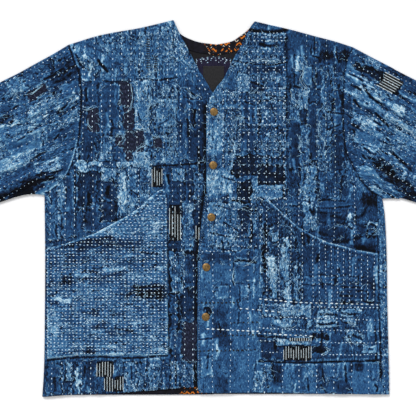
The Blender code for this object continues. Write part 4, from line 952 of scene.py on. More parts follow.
print("outline ready")
underLines = [edges["under" + part] for part in ("Edge", "High", "Neck")]
overLines = [edges["over" + part] for part in ("Edge", "High", "Neck")]
rightFront = makeFront("rightFront", "Right", underLines, edges["hemUnder"], False)
leftFront = makeFront("leftFront", "Left", overLines, edges["hemOver"], True)
print("fronts made")


def makeSleeve(name, side):  # a tube: its top, the fold along its low edge, its back and the fold above
    arm = arms[side]
    rows = sleeveCells["along"]
    upper = evenly(outline["sleeveTop" + side], rows)
    lower = evenly(outline["sleeveLow" + side], rows)
    upperOut = foldRadius * sideNormals(upper, (0, 2000))
    lowerOut = foldRadius * sideNormals(lower, (0, -2000))
    blend = smoothstep(np.arange(rows + 1) / 12)[:, None]
    upperOut = arm["topOffset"] * (1 - blend) + upperOut * blend
    lowerOut = arm["lowOffset"] * (1 - blend) + lowerOut * blend
    start, end = upper - upperOut, lower - lowerOut
    fade = (1 - np.arange(rows + 1) / rows)[:, None, None] ** 1.6
    layers = []
    for count in (sleeveCells["top"], sleeveCells["back"]):
        shares = np.linspace(0, 1, count + 1)
        seam = along(arm["curve"], shares)
        bulge = seam - (seam[0] + (seam[-1] - seam[0]) * shares[:, None])
        layers.append(start[:, None] + (end - start)[:, None] * shares[None, :, None] + bulge[None] * fade)
    plan, back = layers
    x, y = plan[..., 0], plan[..., 1]
    z = settled(clothHeight(name, x, y, paintCloth(name, x, y)[1]), x, y)
    z = z + (topHeight - z) * smoothstep((np.abs(x) - 640) / 40) * 0.6
    lowTurn = turnedOver(plan[:, -1], lowerOut, sleeveTurn, foldRadius).transpose(1, 0, 2)
    topTurn = turnedOver(plan[:, 0], upperOut, sleeveTurn[::-1], foldRadius).transpose(1, 0, 2)
    top = lifted(plan, z)
    points = np.concatenate([top, lowTurn, lifted(back[:, ::-1], 0.0), topTurn, top[:, :1]], axis=1)
    x, y = points[..., 0], points[..., 1]
    surfaces[name] = gridObject(name, points, paintCloth(name, x, y)[0], weaveMap(name, x, y))
    return surfaces[name]


rightSleeve = makeSleeve("rightSleeve", "Right")
leftSleeve = makeSleeve("leftSleeve", "Left")
print("sleeves made")


def makeBack():  # both halves of the back, and the strips that turn up at the side seams
    step = fabric["backStep"]
    rows = [int(length / step) for length in backSpans["rows"]]
    halves, strips = [], []
    for side in ("Right", "Left"):
        arm = arms[side]
        inner = [edges["backCentre"], edges["backHigh"], edges["backNeck" + side]]
        hem, seamIn = edges["hemBack" + side], (foldRadius, foldRadius)
        plan, offset, line = panelPlan(side, inner, hem, rows, int(backSpans["columns"] / step), 1, seamIn)
        turn = turnedOver(plan[-1], offset, shoulderTurn, -foldRadius)
        halves.append((np.concatenate([lifted(plan, 0.0), turn], axis=0), True))
        shares = np.linspace(0, 1, 150)
        fine = along(line, shares)
        out = np.tile(np.array([arm["sign"] * foldRadius, 0.0]), (150, 1))
        out[-1] = arm["lowOffset"]
        columns = list(turnedOver(fine, out, stripTurn, foldRadius))
        reach = seamInset(outline["seamIn" + side], shares) - foldRadius
        seamStart = along(arm["curve"], np.array([arm["start"]]))[0]
        for part, sink in ((0.33, 0.0), (0.66, 0.0), (1.0, 0.35)):
            strip = fine.copy()
            strip[:, 0] -= arm["sign"] * reach * part
            strip[:, 1] += (seamStart[1] - fine[-1][1]) * shares * part
            columns.append(lifted(strip, topHeight - sink))
        strips.append((np.array(columns).transpose(1, 0, 2), False))
    points, quads, offset = [], [], 0
    for grid, down in halves + strips:
        rows, columns = grid.shape[:2]
        corner = grid[rows // 2 - 1:rows // 2 + 2, (columns // 2 if down else columns - 3):][:, :3]
        quads += gridQuads(rows, columns, offset, flip=(gridFacesUp(corner) == down))
        points.append(grid.reshape(-1, 3))
        offset += rows * columns
    points = np.vstack(points)
    x, y = points[:, 0], points[:, 1]
    return addMesh("backCloth", points, quads, paintCloth("back", x, y)[0], weaveMap("back", x, y))


backCloth = makeBack()
surfaces["back"] = backCloth
print("back made")

pocketShapes = {
    "rightPocket": {
        "panel": "rightFront",
        "corners": [
            (-297.4, -73.2), (-265.7, -66), (-240, -57.4), (-210, -46.7), (-180.6, -30.8), (-148.7, -13.8),
            (-125.4, 2.1), (-104.2, 23.4), (-93.6, 32), (-84, 35.5), (-78.5, 31), (-76.6, 12.7), (-73.5, -269.5),
            (-76, -272), (-240, -271.9), (-297.6, -278.5),
        ],
        "mouthHighlight": 0.12, "mouth": [(-304, -74), (-240, -57.4), (-180.6, -30.8), (-125.4, 2.1), (-84, 35.5)],
    },
    "leftPocket": {
        "panel": "leftFront",
        "corners": [
            (101.8, 15.5), (110.3, 17), (139.9, -10.6), (165.4, -33.9), (195.2, -51), (220.5, -62.6),
            (246.1, -69.1), (271.6, -76.5), (314.2, -83.9), (315.4, -157), (318.3, -263), (318.9, -283.2),
            (229, -282.4), (165.4, -286.6), (97, -283.2), (94.2, -280), (93.2, -221), (94.2, -157),
        ],
        "mouthHighlight": 0.34, "mouth": [(320, -84.5), (246.1, -69.1), (195.2, -51), (165.4, -33.9), (110.3, 17)],
    },
    "gape": 3.0, "wall": 1.8, "step": 2.0,
}


def insideDistance(corners, x, y):  # positive inside a closed outline
    loop = np.vstack([corners, corners[:1]])
    away = distanceTo(loop, x, y)
    crossings = np.zeros(x.shape, bool)
    for (ax, ay), (bx, by) in zip(loop[:-1], loop[1:]):
        hit = ((ay > y) != (by > y)) & (x < (bx - ax) * (y - ay) / (by - ay + 1e-12) + ax)
        crossings ^= hit
    return np.where(crossings, away, -away)


def makePocket(name):  # a flat field of cells trimmed to the outline, its edge rolled down
    shape = pocketShapes[name]
    corners = np.array(shape["corners"], float)
    step = pocketShapes["step"]
    spans = [np.arange(corners[:, k].min() - 2 * step, corners[:, k].max() + 2 * step, step) for k in (0, 1)]
    gx, gy = np.meshgrid(*spans)
    depth = insideDistance(corners, gx, gy)
    reach = 0.4  # the slope of the depth is measured over twice this
    nx = (insideDistance(corners, gx + reach, gy) - insideDistance(corners, gx - reach, gy)) / (2 * reach)
    ny = (insideDistance(corners, gx, gy + reach) - insideDistance(corners, gx, gy - reach)) / (2 * reach)
    length = np.maximum(np.hypot(nx, ny), 1e-6)
    pull = np.where(depth < 0, -depth, 0) * (depth > -1.5 * step)  # points just outside go onto the outline
    px, py = gx + nx / length * pull, gy + ny / length * pull
    keep = depth > -1.3 * step
    depth = np.maximum(depth, 0)
    values, lift = paintCloth(name, px, py)
    base = wrinkled(px, py)
    if shape["panel"] == "leftFront":
        base = base + overlapRise(px, py)
    line = smoothCurve(shape["mouth"])
    fromMouth = distanceTo(line, px, py)
    run = np.clip(np.abs(px - line[0][0]) / abs(line[-1][0] - line[0][0]), 0, 1)
    gape = pocketShapes["gape"] * smoothstep(1 - fromMouth / 60) * np.sin(np.pi * run) ** 0.8
    rough, _ = smallRelief(name, px, py)
    roll = np.clip(depth / 2.2, 0, 1)
    thick = pocketShapes["wall"] * np.sqrt(np.clip(1 - (1 - roll) ** 2, 0, 1))
    z = topHeight + 0.5 + base + gape + thick + (rough * 0.7 + lift + pucker(name, px, py)) * roll
    z = z - bell(depth, 7, 1.6) * 0.35  # the sewn-down hem
    # painted highlight along the rolled edge and the mouth, and painted shade in the sewn-down hem's groove
    rim = 0.16 * bell(depth, 0.8, 1.6) + shape["mouthHighlight"] * bell(fromMouth, 0, 2.4) - 0.10 * bell(depth, 7, 1.5)
    values["tone"] = np.clip(values["tone"] + rim, 0, 1)
    index = -np.ones(gx.shape, int)
    index[keep] = np.arange(int(keep.sum()))
    around = [(slice(None, -1), slice(None, -1)), (slice(None, -1), slice(1, None)),
              (slice(1, None), slice(1, None)), (slice(1, None), slice(None, -1))]
    cells = np.logical_and.reduce([keep[corner] for corner in around])
    quads = np.stack([index[corner][cells] for corner in around], axis=-1).tolist()
    points = np.stack([px[keep], py[keep], z[keep]], axis=-1)
    flat = {key: value[keep] for key, value in values.items()}
    surfaces[name] = addMesh(name, points, quads, flat, weaveMap(name, px[keep], py[keep]))
    return surfaces[name]


rightPocket = makePocket("rightPocket")
leftPocket = makePocket("leftPocket")
print("pockets made")

lining = {"z": 2.3, "wall": 1.0, "bandDepth": 20.0, "hemDepth": 24.8, "patchLow": -84.0}  # millimetres
neckLabel = {"left": -9, "right": 30, "top": 263.5, "long": 58.0, "z": 3.75, "wall": 0.5}
satinFolds = {"z": 2.08, "high": 0.25, "spacing": 2.6, "sway": 9, "sag": 0.006, "low": 276, "top": 303}
allSides = ["low", "high", "first", "last"]


def makeBand(name, first, second, count, wrinkle, seed, z=lining["z"] + lining["wall"], size=5, wall=lining["wall"]):
    shares = np.linspace(0, 1, count)[:, None, None]
    points = lifted(first[None] * (1 - shares) + second[None] * shares, z)
    x, y = points[..., 0], points[..., 1]
    points[..., 2] -= wrinkle * valueNoise(x, y, size, seed)
    points, _, weave = rimmed(points, {}, np.stack([x, y], axis=-1) * mm, allSides, wall)
    return gridObject(name, points, {}, weave)


neckLine = joined(smoothCurve(edges["backNeckRight"][:5])[::-1], smoothCurve(edges["backNeckLeft"][:5]))
neckLine = along(neckLine, np.linspace(0.03, 0.97, 121))
neckIn = sideNormals(neckLine, (12, -900))
neckBand = makeBand("neckBand", neckLine + neckIn * 0.8, neckLine + neckIn * lining["bandDepth"], 12, 0.25, 3)

hemLine = joined(smoothCurve(edges["hemBackRight"])[::-1], smoothCurve(edges["hemBackLeft"]))
hemLine = along(hemLine, np.linspace(0.02, 0.98, 241)) + np.array([0, 1.2])
hemBand = makeBand("hemBand", hemLine, hemLine + np.array([0, lining["hemDepth"]]), 9, 0.25, 4)

patchTop = np.array([(-21.5, 276.8), (-8, 280.0), (12, 281.2), (30, 279.8), (42, 276.4)])
patchTop = along(patchTop, np.linspace(0, 1, 41))
neckPatch = makeBand("neckPatch", patchTop, patchTop + np.array([0.0, lining["patchLow"]]), 50, 0.35, 6)

labelTop = np.stack([np.linspace(neckLabel["left"], neckLabel["right"], 28), np.full(28, neckLabel["top"])], axis=-1)
labelLow = labelTop - np.array([0.0, neckLabel["long"]])
blankLabel = makeBand("blankLabel", labelTop, labelLow, 40, 0.2, 9, neckLabel["z"], 7, neckLabel["wall"])

sx, sy = np.meshgrid(np.linspace(-62, 84, 110), np.linspace(150, 316, 124))  # satin that shows inside the neck
satinShift = uneven(sx, sy, 14, (13, satinFolds["sway"]))
satinWave = np.sin((sy + satinShift + satinFolds["sag"] * (sx - 12) ** 2) / satinFolds["spacing"])
satinZone = smoothstep((sy - satinFolds["low"]) / 4) * smoothstep((satinFolds["top"] - sy) / 8)
satinZ = satinFolds["z"] + satinFolds["high"] * satinZone * (satinWave * 0.5 + 0.5)
neckTop = np.interp(sx, neckLine[:, 0], neckLine[:, 1]) - 1.5
satin = np.stack([sx, np.minimum(sy, neckTop), satinZ], axis=-1)
satinLining = gridObject("satinLining", satin, {}, satin[..., :2] * mm)
print("linings made")


def hexColor(code):  # sRGB hex to linear
    parts = [int(code[k:k + 2], 16) / 255 for k in (1, 3, 5)]
    linear = [c / 12.92 if c <= 0.04045 else ((c + 0.055) / 1.055) ** 2.4 for c in parts]
    return (*linear, 1.0)


def fillRamp(ramp, stops):
    while len(ramp.elements) < len(stops):
        ramp.elements.new(0.5)
    for element, (place, code) in zip(ramp.elements, stops):
        element.position = place
        element.color = hexColor(code)


def addNode(tree, kind, settings=None, inputs=(), output=0):  # sets or links the inputs and gives one output
    node = tree.nodes.new(kind)
    for key, value in (settings or {}).items():
        if key == "stops":
            fillRamp(node.color_ramp, value)
        else:
            setattr(node, key, value)
    for key, value in (inputs.items() if isinstance(inputs, dict) else enumerate(inputs)):
        if isinstance(value, bpy.types.NodeSocket):
            tree.links.new(value, node.inputs[key])
        else:
            node.inputs[key].default_value = value
    return node if output is None else node.outputs[output]


mathKind, rangeKind, rampKind, mixKind = "ShaderNodeMath", "ShaderNodeMapRange", "ShaderNodeValToRGB", "ShaderNodeMix"
plus, minus, multiply, multiplyAdd = ({"operation": word} for word in ("ADD", "SUBTRACT", "MULTIPLY", "MULTIPLY_ADD"))


def newMaterial(name, roughness, metallic=0.0, sheen=0.0):
    material = bpy.data.materials.new(name)
    material.use_nodes = True
    tree = material.node_tree
    shader = tree.nodes["Principled BSDF"]
    shader.inputs["Roughness"].default_value = roughness
    shader.inputs["Metallic"].default_value = metallic
    shader.inputs["Sheen Weight"].default_value = sheen
    shader.inputs["Specular IOR Level"].default_value = 0.5 if metallic else 0.12
    return material, tree, shader


def coverShader(tree, shader, color, height, strength, distance=0.4):  # colour, and low relief in mm if it has any
    tree.links.new(color, shader.inputs["Base Color"])
    if strength:
        relief = {"Strength": strength, "Distance": distance * mm, "Height": height}
        tree.links.new(addNode(tree, "ShaderNodeBump", None, relief), shader.inputs["Normal"])


def slubs(tree, uv, size, stretch=1.0, shift=0.0, detail=2.0, rough=0.5):  # noise drawn out along the grain
    drawn = addNode(tree, "ShaderNodeVectorMath", multiply, (uv, (1.0, stretch, 1.0)))
    moved = addNode(tree, "ShaderNodeVectorMath", plus, (drawn, (shift, shift * 0.7, 0.0)))
    inputs = {"Vector": moved, "Scale": 1 / (size * mm), "Detail": detail, "Roughness": rough}
    return addNode(tree, "ShaderNodeTexNoise", {"noise_dimensions": "2D"}, inputs, "Fac")


# size in mm, stretch, shift, detail and roughness of each noise; the real threads lie 0.5 mm apart, too fine
# to show, so they are drawn 1.1 mm apart and the slubs to match
clothPatterns = {
    "mottle": (2.3256, 0.50, 0.0, 2.0, 0.6), "blotch": (11.3636, 0.70, 3.1, 4.0, 0.62),
    "pale": (2.7778, 0.45, 7.7, 2.0, 0.55), "dark": (3.3333, 0.40, 12.3, 2.0, 0.55),
    "fray": (8.3333, 0.75, 31.0, 2.0, 0.6), "frayZone": (19.2308, 0.8, 21.0, 2.0, 0.5),
    "slit": (9.5238, 0.45, 37.0, 2.0, 0.6), "slitZone": (13.3333, 0.8, 27.0, 2.0, 0.5),
    "threads": (1.1111, 0.4, 5.0, 1.0, 0.5),
}
indigoLook = {
    "depth": 0.05, "plainShare": 0.35, "bump": 0.6, "bumpHeight": 0.9,
    "level": {"mottle": 0.72, "blotch": 0.5, "pale": 0.34, "dark": -0.34, "fray": 0.42, "slit": -0.6},
    "height": {"pale": 0.6, "threads": 0.4, "fray": 1.0, "dark": -0.6, "slit": -1.0},
    "limits": {"pale": (0.60, 0.70), "dark": (0.61, 0.69), "frayZone": (0.44, 0.58), "slitZone": (0.53, 0.60)},
    "lineWidth": {"fray": 0.030, "slit": 0.020},
    "stops": [
        (0.0, "#03060d"), (0.13, "#091427"), (0.29, "#163053"), (0.46, "#27517e"),
        (0.61, "#43759e"), (0.79, "#7fabc6"), (1.0, "#cadfe8"),
    ],
    "plumStops": [(0.25, "#0c0f1b"), (0.55, "#191f32"), (0.85, "#3d445f")],
}


def indigoMaterial():  # hand-woven indigo cotton, dull, frayed pale along its high threads and dark in its slits
    material, tree, shader = newMaterial("wornIndigoCotton", 0.95, 0.0, 0.03)
    uv = addNode(tree, "ShaderNodeUVMap", {"uv_map": "weave"})
    given = {}
    for key in ("tone", "plum", "wear"):
        given[key] = addNode(tree, "ShaderNodeAttribute", {"attribute_name": key}, (), "Fac")
    spread = {key: slubs(tree, uv, *row) for key, row in clothPatterns.items()}
    for key, limits in indigoLook["limits"].items():
        spread[key] = addNode(tree, rangeKind, None, (spread[key], *limits))
    for key, width in indigoLook["lineWidth"].items():  # thin wandering lines where the noise crosses its middle
        offMiddle = addNode(tree, mathKind, minus, (spread[key], 0.5))
        offMiddle = addNode(tree, mathKind, {"operation": "ABSOLUTE"}, (offMiddle,))
        line = addNode(tree, rangeKind, None, (offMiddle, width, width * 0.35))
        for share in (spread[key + "Zone"], given["wear"]):
            line = addNode(tree, mathKind, multiply, (line, share))
        spread[key] = line
    plainShare = indigoLook["plainShare"]
    rough = addNode(tree, mathKind, multiplyAdd, (given["wear"], 1 - plainShare, plainShare))
    level = addNode(tree, mathKind, minus, (given["tone"], indigoLook["depth"]))
    for key, amount in indigoLook["level"].items():
        middle = 0.5 if key in ("mottle", "blotch") else 0.0
        part = addNode(tree, mathKind, multiplyAdd, (spread[key], amount, -amount * middle))
        share = 1.0 if key in indigoLook["lineWidth"] else rough
        level = addNode(tree, mathKind, multiplyAdd, (part, share, level))
    blue = addNode(tree, rampKind, {"stops": indigoLook["stops"]}, (level,))
    plumLevel = addNode(tree, mathKind, multiplyAdd, (spread["pale"], 0.2, spread["mottle"]))
    plumTone = addNode(tree, rampKind, {"stops": indigoLook["plumStops"]}, (plumLevel,))
    color = addNode(tree, mixKind, {"data_type": "RGBA"}, {0: given["plum"], 6: blue, 7: plumTone}, 2)
    height = spread["mottle"]
    for key, amount in indigoLook["height"].items():
        height = addNode(tree, mathKind, multiplyAdd, (spread[key], amount, height))
    coverShader(tree, shader, color, height, indigoLook["bump"], indigoLook["bumpHeight"])
    return material


printLook = {  # millimetres
    "zigzag": 4.8, "repeat": 11.7647, "rubbed": 8.3333, "slub": 1.4286, "bumpHeight": 0.4,
    "orange": "#c9701c", "white": "#d8cfc0", "ground": [(0.2, "#07070b"), (0.8, "#151522")],
    # where it shows: up from the middle of the jacket, then across, each fading in from first to second
    "areas": [((0, 1), (-8, -2)), ((1, 0), (-54, -50), (-2, -4)), ((1, 0), (-216, -213), (-196, -199))],
}


def printMaterial():  # black lining cotton with a rubbed orange and white zigzag print
    material, tree, shader = newMaterial("zigzagPrintedCotton", 0.75)
    uv = addNode(tree, "ShaderNodeUVMap", {"uv_map": "weave"})
    across, up = addNode(tree, "ShaderNodeSeparateXYZ", None, (uv,), None).outputs[:2]
    fold = addNode(tree, mathKind, {"operation": "PINGPONG"}, (across, printLook["zigzag"] * mm))
    climb = addNode(tree, mathKind, plus, (up, fold))
    climb = addNode(tree, mathKind, multiply, (climb, 1 / (printLook["repeat"] * mm)))
    band = addNode(tree, mathKind, {"operation": "FRACT"}, (climb,))
    offWhite = addNode(tree, mathKind, minus, (band, 0.62))
    offWhite = addNode(tree, mathKind, {"operation": "ABSOLUTE"}, (offWhite,))
    rubbed = slubs(tree, uv, printLook["rubbed"])
    shown = 0.0
    for first, *others in printLook["areas"]:
        part = addNode(tree, rangeKind, None, (up, first[0] * mm, first[1] * mm))
        for low, high in others:
            inside = addNode(tree, rangeKind, None, (across, low * mm, high * mm))
            part = addNode(tree, mathKind, multiply, (part, inside))
        shown = addNode(tree, mathKind, plus, (shown, part))
    color = addNode(tree, rampKind, {"stops": printLook["ground"]}, (rubbed,))
    for value, edge, wornEdge, ink in (
        (band, (0.30, 0.24), (0.47, 0.52), "orange"), (offWhite, (0.08, 0.05), (0.56, 0.60), "white"),
    ):
        share = shown
        for field, limits in ((value, edge), (rubbed, wornEdge)):
            inside = addNode(tree, rangeKind, None, (field, *limits))
            share = addNode(tree, mathKind, multiply, (share, inside))
        color = addNode(tree, mixKind, {"data_type": "RGBA"}, {0: share, 6: color, 7: hexColor(printLook[ink])}, 2)
    coverShader(tree, shader, color, slubs(tree, uv, printLook["slub"], detail=1.0), 0.3, printLook["bumpHeight"])
    return material


# dyed cloth, its slubs drawn coarser than the real ones so that they show, size in mm
def plainCloth(name, low, high, size, roughness, sheen=0.1, stretch=0.3):
    material, tree, shader = newMaterial(name, roughness, 0.0, sheen)
    uv = addNode(tree, "ShaderNodeUVMap", {"uv_map": "weave"})
    slub = slubs(tree, uv, size, stretch, 0.0, 3.0, 0.6)
    color = addNode(tree, rampKind, {"stops": [(0.3, low), (0.7, high)]}, (slub,))
    coverShader(tree, shader, color, slub, 0.35)
    return material


def grainMaterial(name, roughness, metallic, sheen, size, detail, stops, relief=0.0):  # size in mm
    material, tree, shader = newMaterial(name, roughness, metallic, sheen)
    place = addNode(tree, "ShaderNodeTexCoord", None, (), "Object")
    inputs = {"Vector": place, "Scale": 1 / (size * mm), "Detail": detail}
    grain = addNode(tree, "ShaderNodeTexNoise", None, inputs, "Fac")
    color = addNode(tree, rampKind, {"stops": stops}, (grain,))
    coverShader(tree, shader, color, grain, relief, 0.2)
    return material


def threadMaterial(name, low, high):  # twisted cotton thread, matt and a little dirty along its length
    return grainMaterial(name, 0.8, 0.0, 0.2, 3.8462, 1.0, [(0.35, low), (0.6, high)])


indigo = indigoMaterial()
printed = printMaterial()
satinCloth = plainCloth("blackSatin", "#08080b", "#16161d", 6.25, 0.32, 0.2, 0.2)  # smooth, with a soft shine
quiltCloth = plainCloth("purpleQuilt", "#12101f", "#221f38", 2.381, 0.9)  # soft and dull, nearly black
labelCloth = plainCloth("charcoalTwill", "#1c1c1e", "#2c2c2e", 1.25, 0.85)  # flat grey with fine ribs
whiteThread = threadMaterial("whiteSashikoThread", "#8fb5d3", "#d3ebfa")
paleThread = threadMaterial("paleIndigoThread", "#5f8aa6", "#b4d0da")
thickThread = threadMaterial("thickWhiteThread", "#aec6d2", "#e0eef4")
tornThread = threadMaterial("tornIndigoThread", "#4a80aa", "#abd0e4")
frayThread = threadMaterial("frayedIndigoThread", "#34658f", "#8fbbd6")
blackThread = threadMaterial("blackThread", "#030407", "#0c0e14")
brassStops = [(0.3, "#5a4830"), (0.65, "#94774b")]  # brown in the hollows and bright where it is rubbed
brass = grainMaterial("antiqueBrass", 0.5, 1.0, 0.0, 2.381, 3.0, brassStops, 0.2)

for item in (rightFront, leftFront, rightSleeve, leftSleeve, rightPocket, leftPocket, backCloth):
    item.data.materials.append(indigo)
for item in (neckBand, hemBand):
    item.data.materials.append(printed)
for item, cloth in ((neckPatch, quiltCloth), (satinLining, satinCloth), (blankLabel, labelCloth)):
    item.data.materials.append(cloth)
print("materials made")

threads = {  # millimetres; thicker than the real 1 mm thread, which would be too fine to show
    "fine": {"pitch": 6.8, "length": 3.2, "width": 2.0, "jitter": 0.8, "material": whiteThread},
    "running": {"pitch": 9.5, "length": 3.5, "width": 1.7, "material": whiteThread},
    "faint": {"pitch": 9.5, "length": 3.4, "width": 1.6, "material": paleThread},
    "column": {"pitch": 7.2, "length": 3.6, "width": 1.6, "material": whiteThread},
    "dots": {"pitch": 8.7, "length": 2.4, "width": 1.7, "material": whiteThread},
    "bold": {"pitch": 9.1, "length": 6.2, "width": 2.5, "material": thickThread},
    "black": {"pitch": 7.4, "length": 4.6, "width": 3.2, "material": blackThread},
    "seam": {"pitch": 4.4, "length": 2.4, "width": 0.8, "material": paleThread},
}
strands = {
    "whiteStrand": {"radius": 0.72, "material": thickThread},
    "blackStrand": {"radius": 0.95, "material": blackThread},
    "frayStrand": {"radius": 0.42, "material": frayThread},
    "tornStrand": {"radius": 0.45, "material": tornThread},
}
laying = {"rayTop": 80, "lowest": 4.2, "stitchRise": 0.25, "strandRise": 0.35, "tornRise": 0.4, "step": 3.0}
raggedEnd = 0.26  # greatest share that a ladder's thread is short at either end
fray = {"spacing": 3.8, "long": (3.0, 12.0), "step": 1.5, "astray": 0.6, "bend": 0.22, "waver": 0.2, "off": 1.5}
torn = {"threads": 3, "step": 2, "wander": 0.5, "off": 1.2}
wisps = {"area": 300.0, "long": (5.0, 17.0), "step": 2.0, "astray": 0.7, "bend": 0.16, "waver": 0.18}


def surfaceTree(item):
    mesh = item.data
    points = np.zeros(len(mesh.vertices) * 3)
    mesh.vertices.foreach_get("co", points)
    faces = [tuple(face.vertices) for face in mesh.polygons]
    return BVHTree.FromPolygons([Vector(p) for p in points.reshape(-1, 3)], faces)


surfaces["neckPatch"] = neckPatch
trees = {key: surfaceTree(item) for key, item in surfaces.items()}


def laidPath(panel, path, rise):  # drops a plan path onto a panel; breaks where it leaves the panel
    runs, run = [], []
    for x, y in path:
        hit = trees[panel].ray_cast(Vector((x * mm, y * mm, laying["rayTop"] * mm)), Vector((0, 0, -1)))[0]
        if hit is not None and (panel == "neckPatch" or hit.z >= laying["lowest"] * mm):
            run.append((x * mm, y * mm, hit.z + rise * mm))
        else:
            runs.append(run)
            run = []
    return [run for run in runs + [run] if len(run) > 1]


def onMark(mark, turn, u, v):  # plan place of a point of a turned rectangle
    cx, cy = placed(*mark)[:2]
    x, y = turned(u, v, 0, 0, -turn)
    return cx + x, cy + y


def regionRows(mark, turn, count, dice, sway=1.0):  # parallel rows across a turned rectangle
    halfWide, halfTall = placed(*mark)[2:]
    if turn == 90:
        halfWide, halfTall = halfTall, halfWide
    rows = []
    for share in np.linspace(-1, 1, count) if count > 1 else [0.0]:
        u = share * halfWide + dice.normal(0, 0.4) * sway
        phase, swing = dice.uniform(0, 6.28), dice.uniform(0.2, 1.0) * sway
        v = np.arange(-halfTall, halfTall + 0.1, laying["step"])
        rows.append(np.stack(onMark(mark, turn, u + swing * np.sin(v / 38 + phase), v), axis=-1))
    return rows


def looseThread(start, heading, look):  # wanders off from its start
    heading, bend = heading + dice.normal(0, look["astray"]), dice.normal(0, look["bend"])
    x, y = start
    row = []
    for n in range(int(dice.uniform(*look["long"]) / look["step"]) + 1):
        row.append((x, y))
        x, y = x + look["step"] * math.cos(heading), y + look["step"] * math.sin(heading)
        heading += bend + dice.normal(0, look["waver"])
    return row


def lineLength(line):
    return np.linalg.norm(np.diff(line, axis=0), axis=1).sum()


paths = {key: [] for key in [*threads, *strands]}
dice = np.random.default_rng(7)
for panel, regions in sewing.items():
    for *mark, turn, spacing, thread in regions:
        halfWide, halfTall = placed(*mark)[2:]
        across = 2 * (halfTall if turn == 90 else halfWide)
        for row in regionRows(mark, turn, int(round(across / spacing)) + 1, dice):
            paths[thread] += laidPath(panel, row, laying["stitchRise"])

seamLines = [  # panel, thread, line and its shift
    ("leftFront", "seam", overLine, (3.0, 0)), ("leftFront", "seam", smoothCurve(edges["overNeck"]), (5.0, -3.0)),
    ("rightFront", "running", smoothCurve(edges["underNeck"]), (-9.0, -3.0)),
    ("neckPatch", "faint", patchTop, (0, -0.8)), ("neckPatch", "fine", patchTop, (0, -3.2)),
    ("neckPatch", "dots", patchTop, (0, -6.8)), ("neckPatch", "dots", patchTop[:14], (0, -10.5)),
    ("neckPatch", "dots", patchTop[26:], (0, -10.0)), ("neckPatch", "seam", patchTop, (0, 0.3)),
]
seamLines += [(panel, thread, photoPath(numbers), (0, 0)) for panel, thread, *numbers in sewnLines]
for panel, thread, line, shift in seamLines:
    line = line + np.array(shift)
    count = max(int(lineLength(line) / laying["step"]), 3)
    paths[thread] += laidPath(panel, along(line, np.linspace(0, 1, count)), laying["stitchRise"])

for panel, *mark, turn, count, colours in ladders:
    colours = colours.split()
    for k, row in enumerate(regionRows(mark, turn, count, dice, 0.12)):
        start, end = (int(len(row) * dice.uniform(0, raggedEnd)) for _ in range(2))
        row = row[start:len(row) - end]
        paths[colours[k % len(colours)] + "Strand"] += laidPath(panel, row, laying["strandRise"])

patches = [(panel, *row) for panel, rows in patchworkAndShade.items() if panel != "back" for row in rows]
for panel, *mark, turn, value, look in patches:  # loose threads at the edges of patches and holes
    if look.endswith("soft"):
        continue
    halfWide, halfTall = placed(*mark)[2:]
    for k in range(int((halfWide + halfTall) / fray["spacing"]) + 2):
        side = int(dice.random() < halfTall / (halfWide + halfTall))
        end, share = dice.choice([-1, 1]), dice.uniform(-1, 1)
        place = (end * halfWide, share * halfTall) if side else (share * halfWide, end * halfTall)
        x, y = onMark(mark, turn, *place)
        start = x + dice.normal(0, fray["off"]), y + dice.normal(0, fray["off"])
        heading = math.radians(turn + 90 * side + (180 if dice.random() < 0.5 else 0))
        paths["frayStrand"] += laidPath(panel, looseThread(start, heading, fray), laying["strandRise"])
for panel, *numbers in tornEdges:
    line = smoothCurve(photoPath(numbers))
    for k in range(torn["threads"]):
        ends = dice.uniform(0, 0.5), dice.uniform(0.6, 1.0)
        path = along(line, np.linspace(*ends, max(int(lineLength(line) / torn["step"]), 4)))
        wander = np.cumsum(dice.normal(0, torn["wander"], path.shape), axis=0) * 0.8
        path = path + wander + dice.normal(0, torn["off"], 2)
        paths["tornStrand"] += laidPath(panel, path, laying["tornRise"])
for panel, *mark, turn, value, look in patches:  # thin threads on the worn cloth, one to so many square millimetres
    if not look.startswith("worn"):
        continue
    halfWide, halfTall = placed(*mark)[2:]
    for k in range(int(4 * halfWide * halfTall / wisps["area"])):
        start = onMark(mark, turn, halfWide * dice.uniform(-1, 1), halfTall * dice.uniform(-1, 1))
        heading = math.radians(turn) + (math.pi / 2 if dice.random() < 0.5 else 0.0)
        paths["frayStrand"] += laidPath(panel, looseThread(start, heading, wisps), laying["strandRise"])
print("thread paths laid")


def newGroup(name, inputs):  # a node group whose first nodes turn the paths into curves
    tree = bpy.data.node_groups.new(name, "GeometryNodeTree")
    sockets = {}
    for key, kind in {"Geometry": "Geometry", **inputs}.items():
        kind = "NodeSocket" + kind
        sockets[key] = tree.interface.new_socket(key, in_out="INPUT", socket_type=kind).identifier
    tree.interface.new_socket("Geometry", in_out="OUTPUT", socket_type="NodeSocketGeometry")
    given = addNode(tree, "NodeGroupInput", output=None).outputs
    return tree, sockets, given, addNode(tree, "GeometryNodeMeshToCurve", None, (given["Geometry"],))


def finishGroup(tree, geometry, thread):
    real = addNode(tree, "GeometryNodeRealizeInstances", None, (geometry,))
    dressed = addNode(tree, "GeometryNodeSetMaterial", None, {"Geometry": real, "Material": thread})
    addNode(tree, "NodeGroupOutput", None, (dressed,), None)


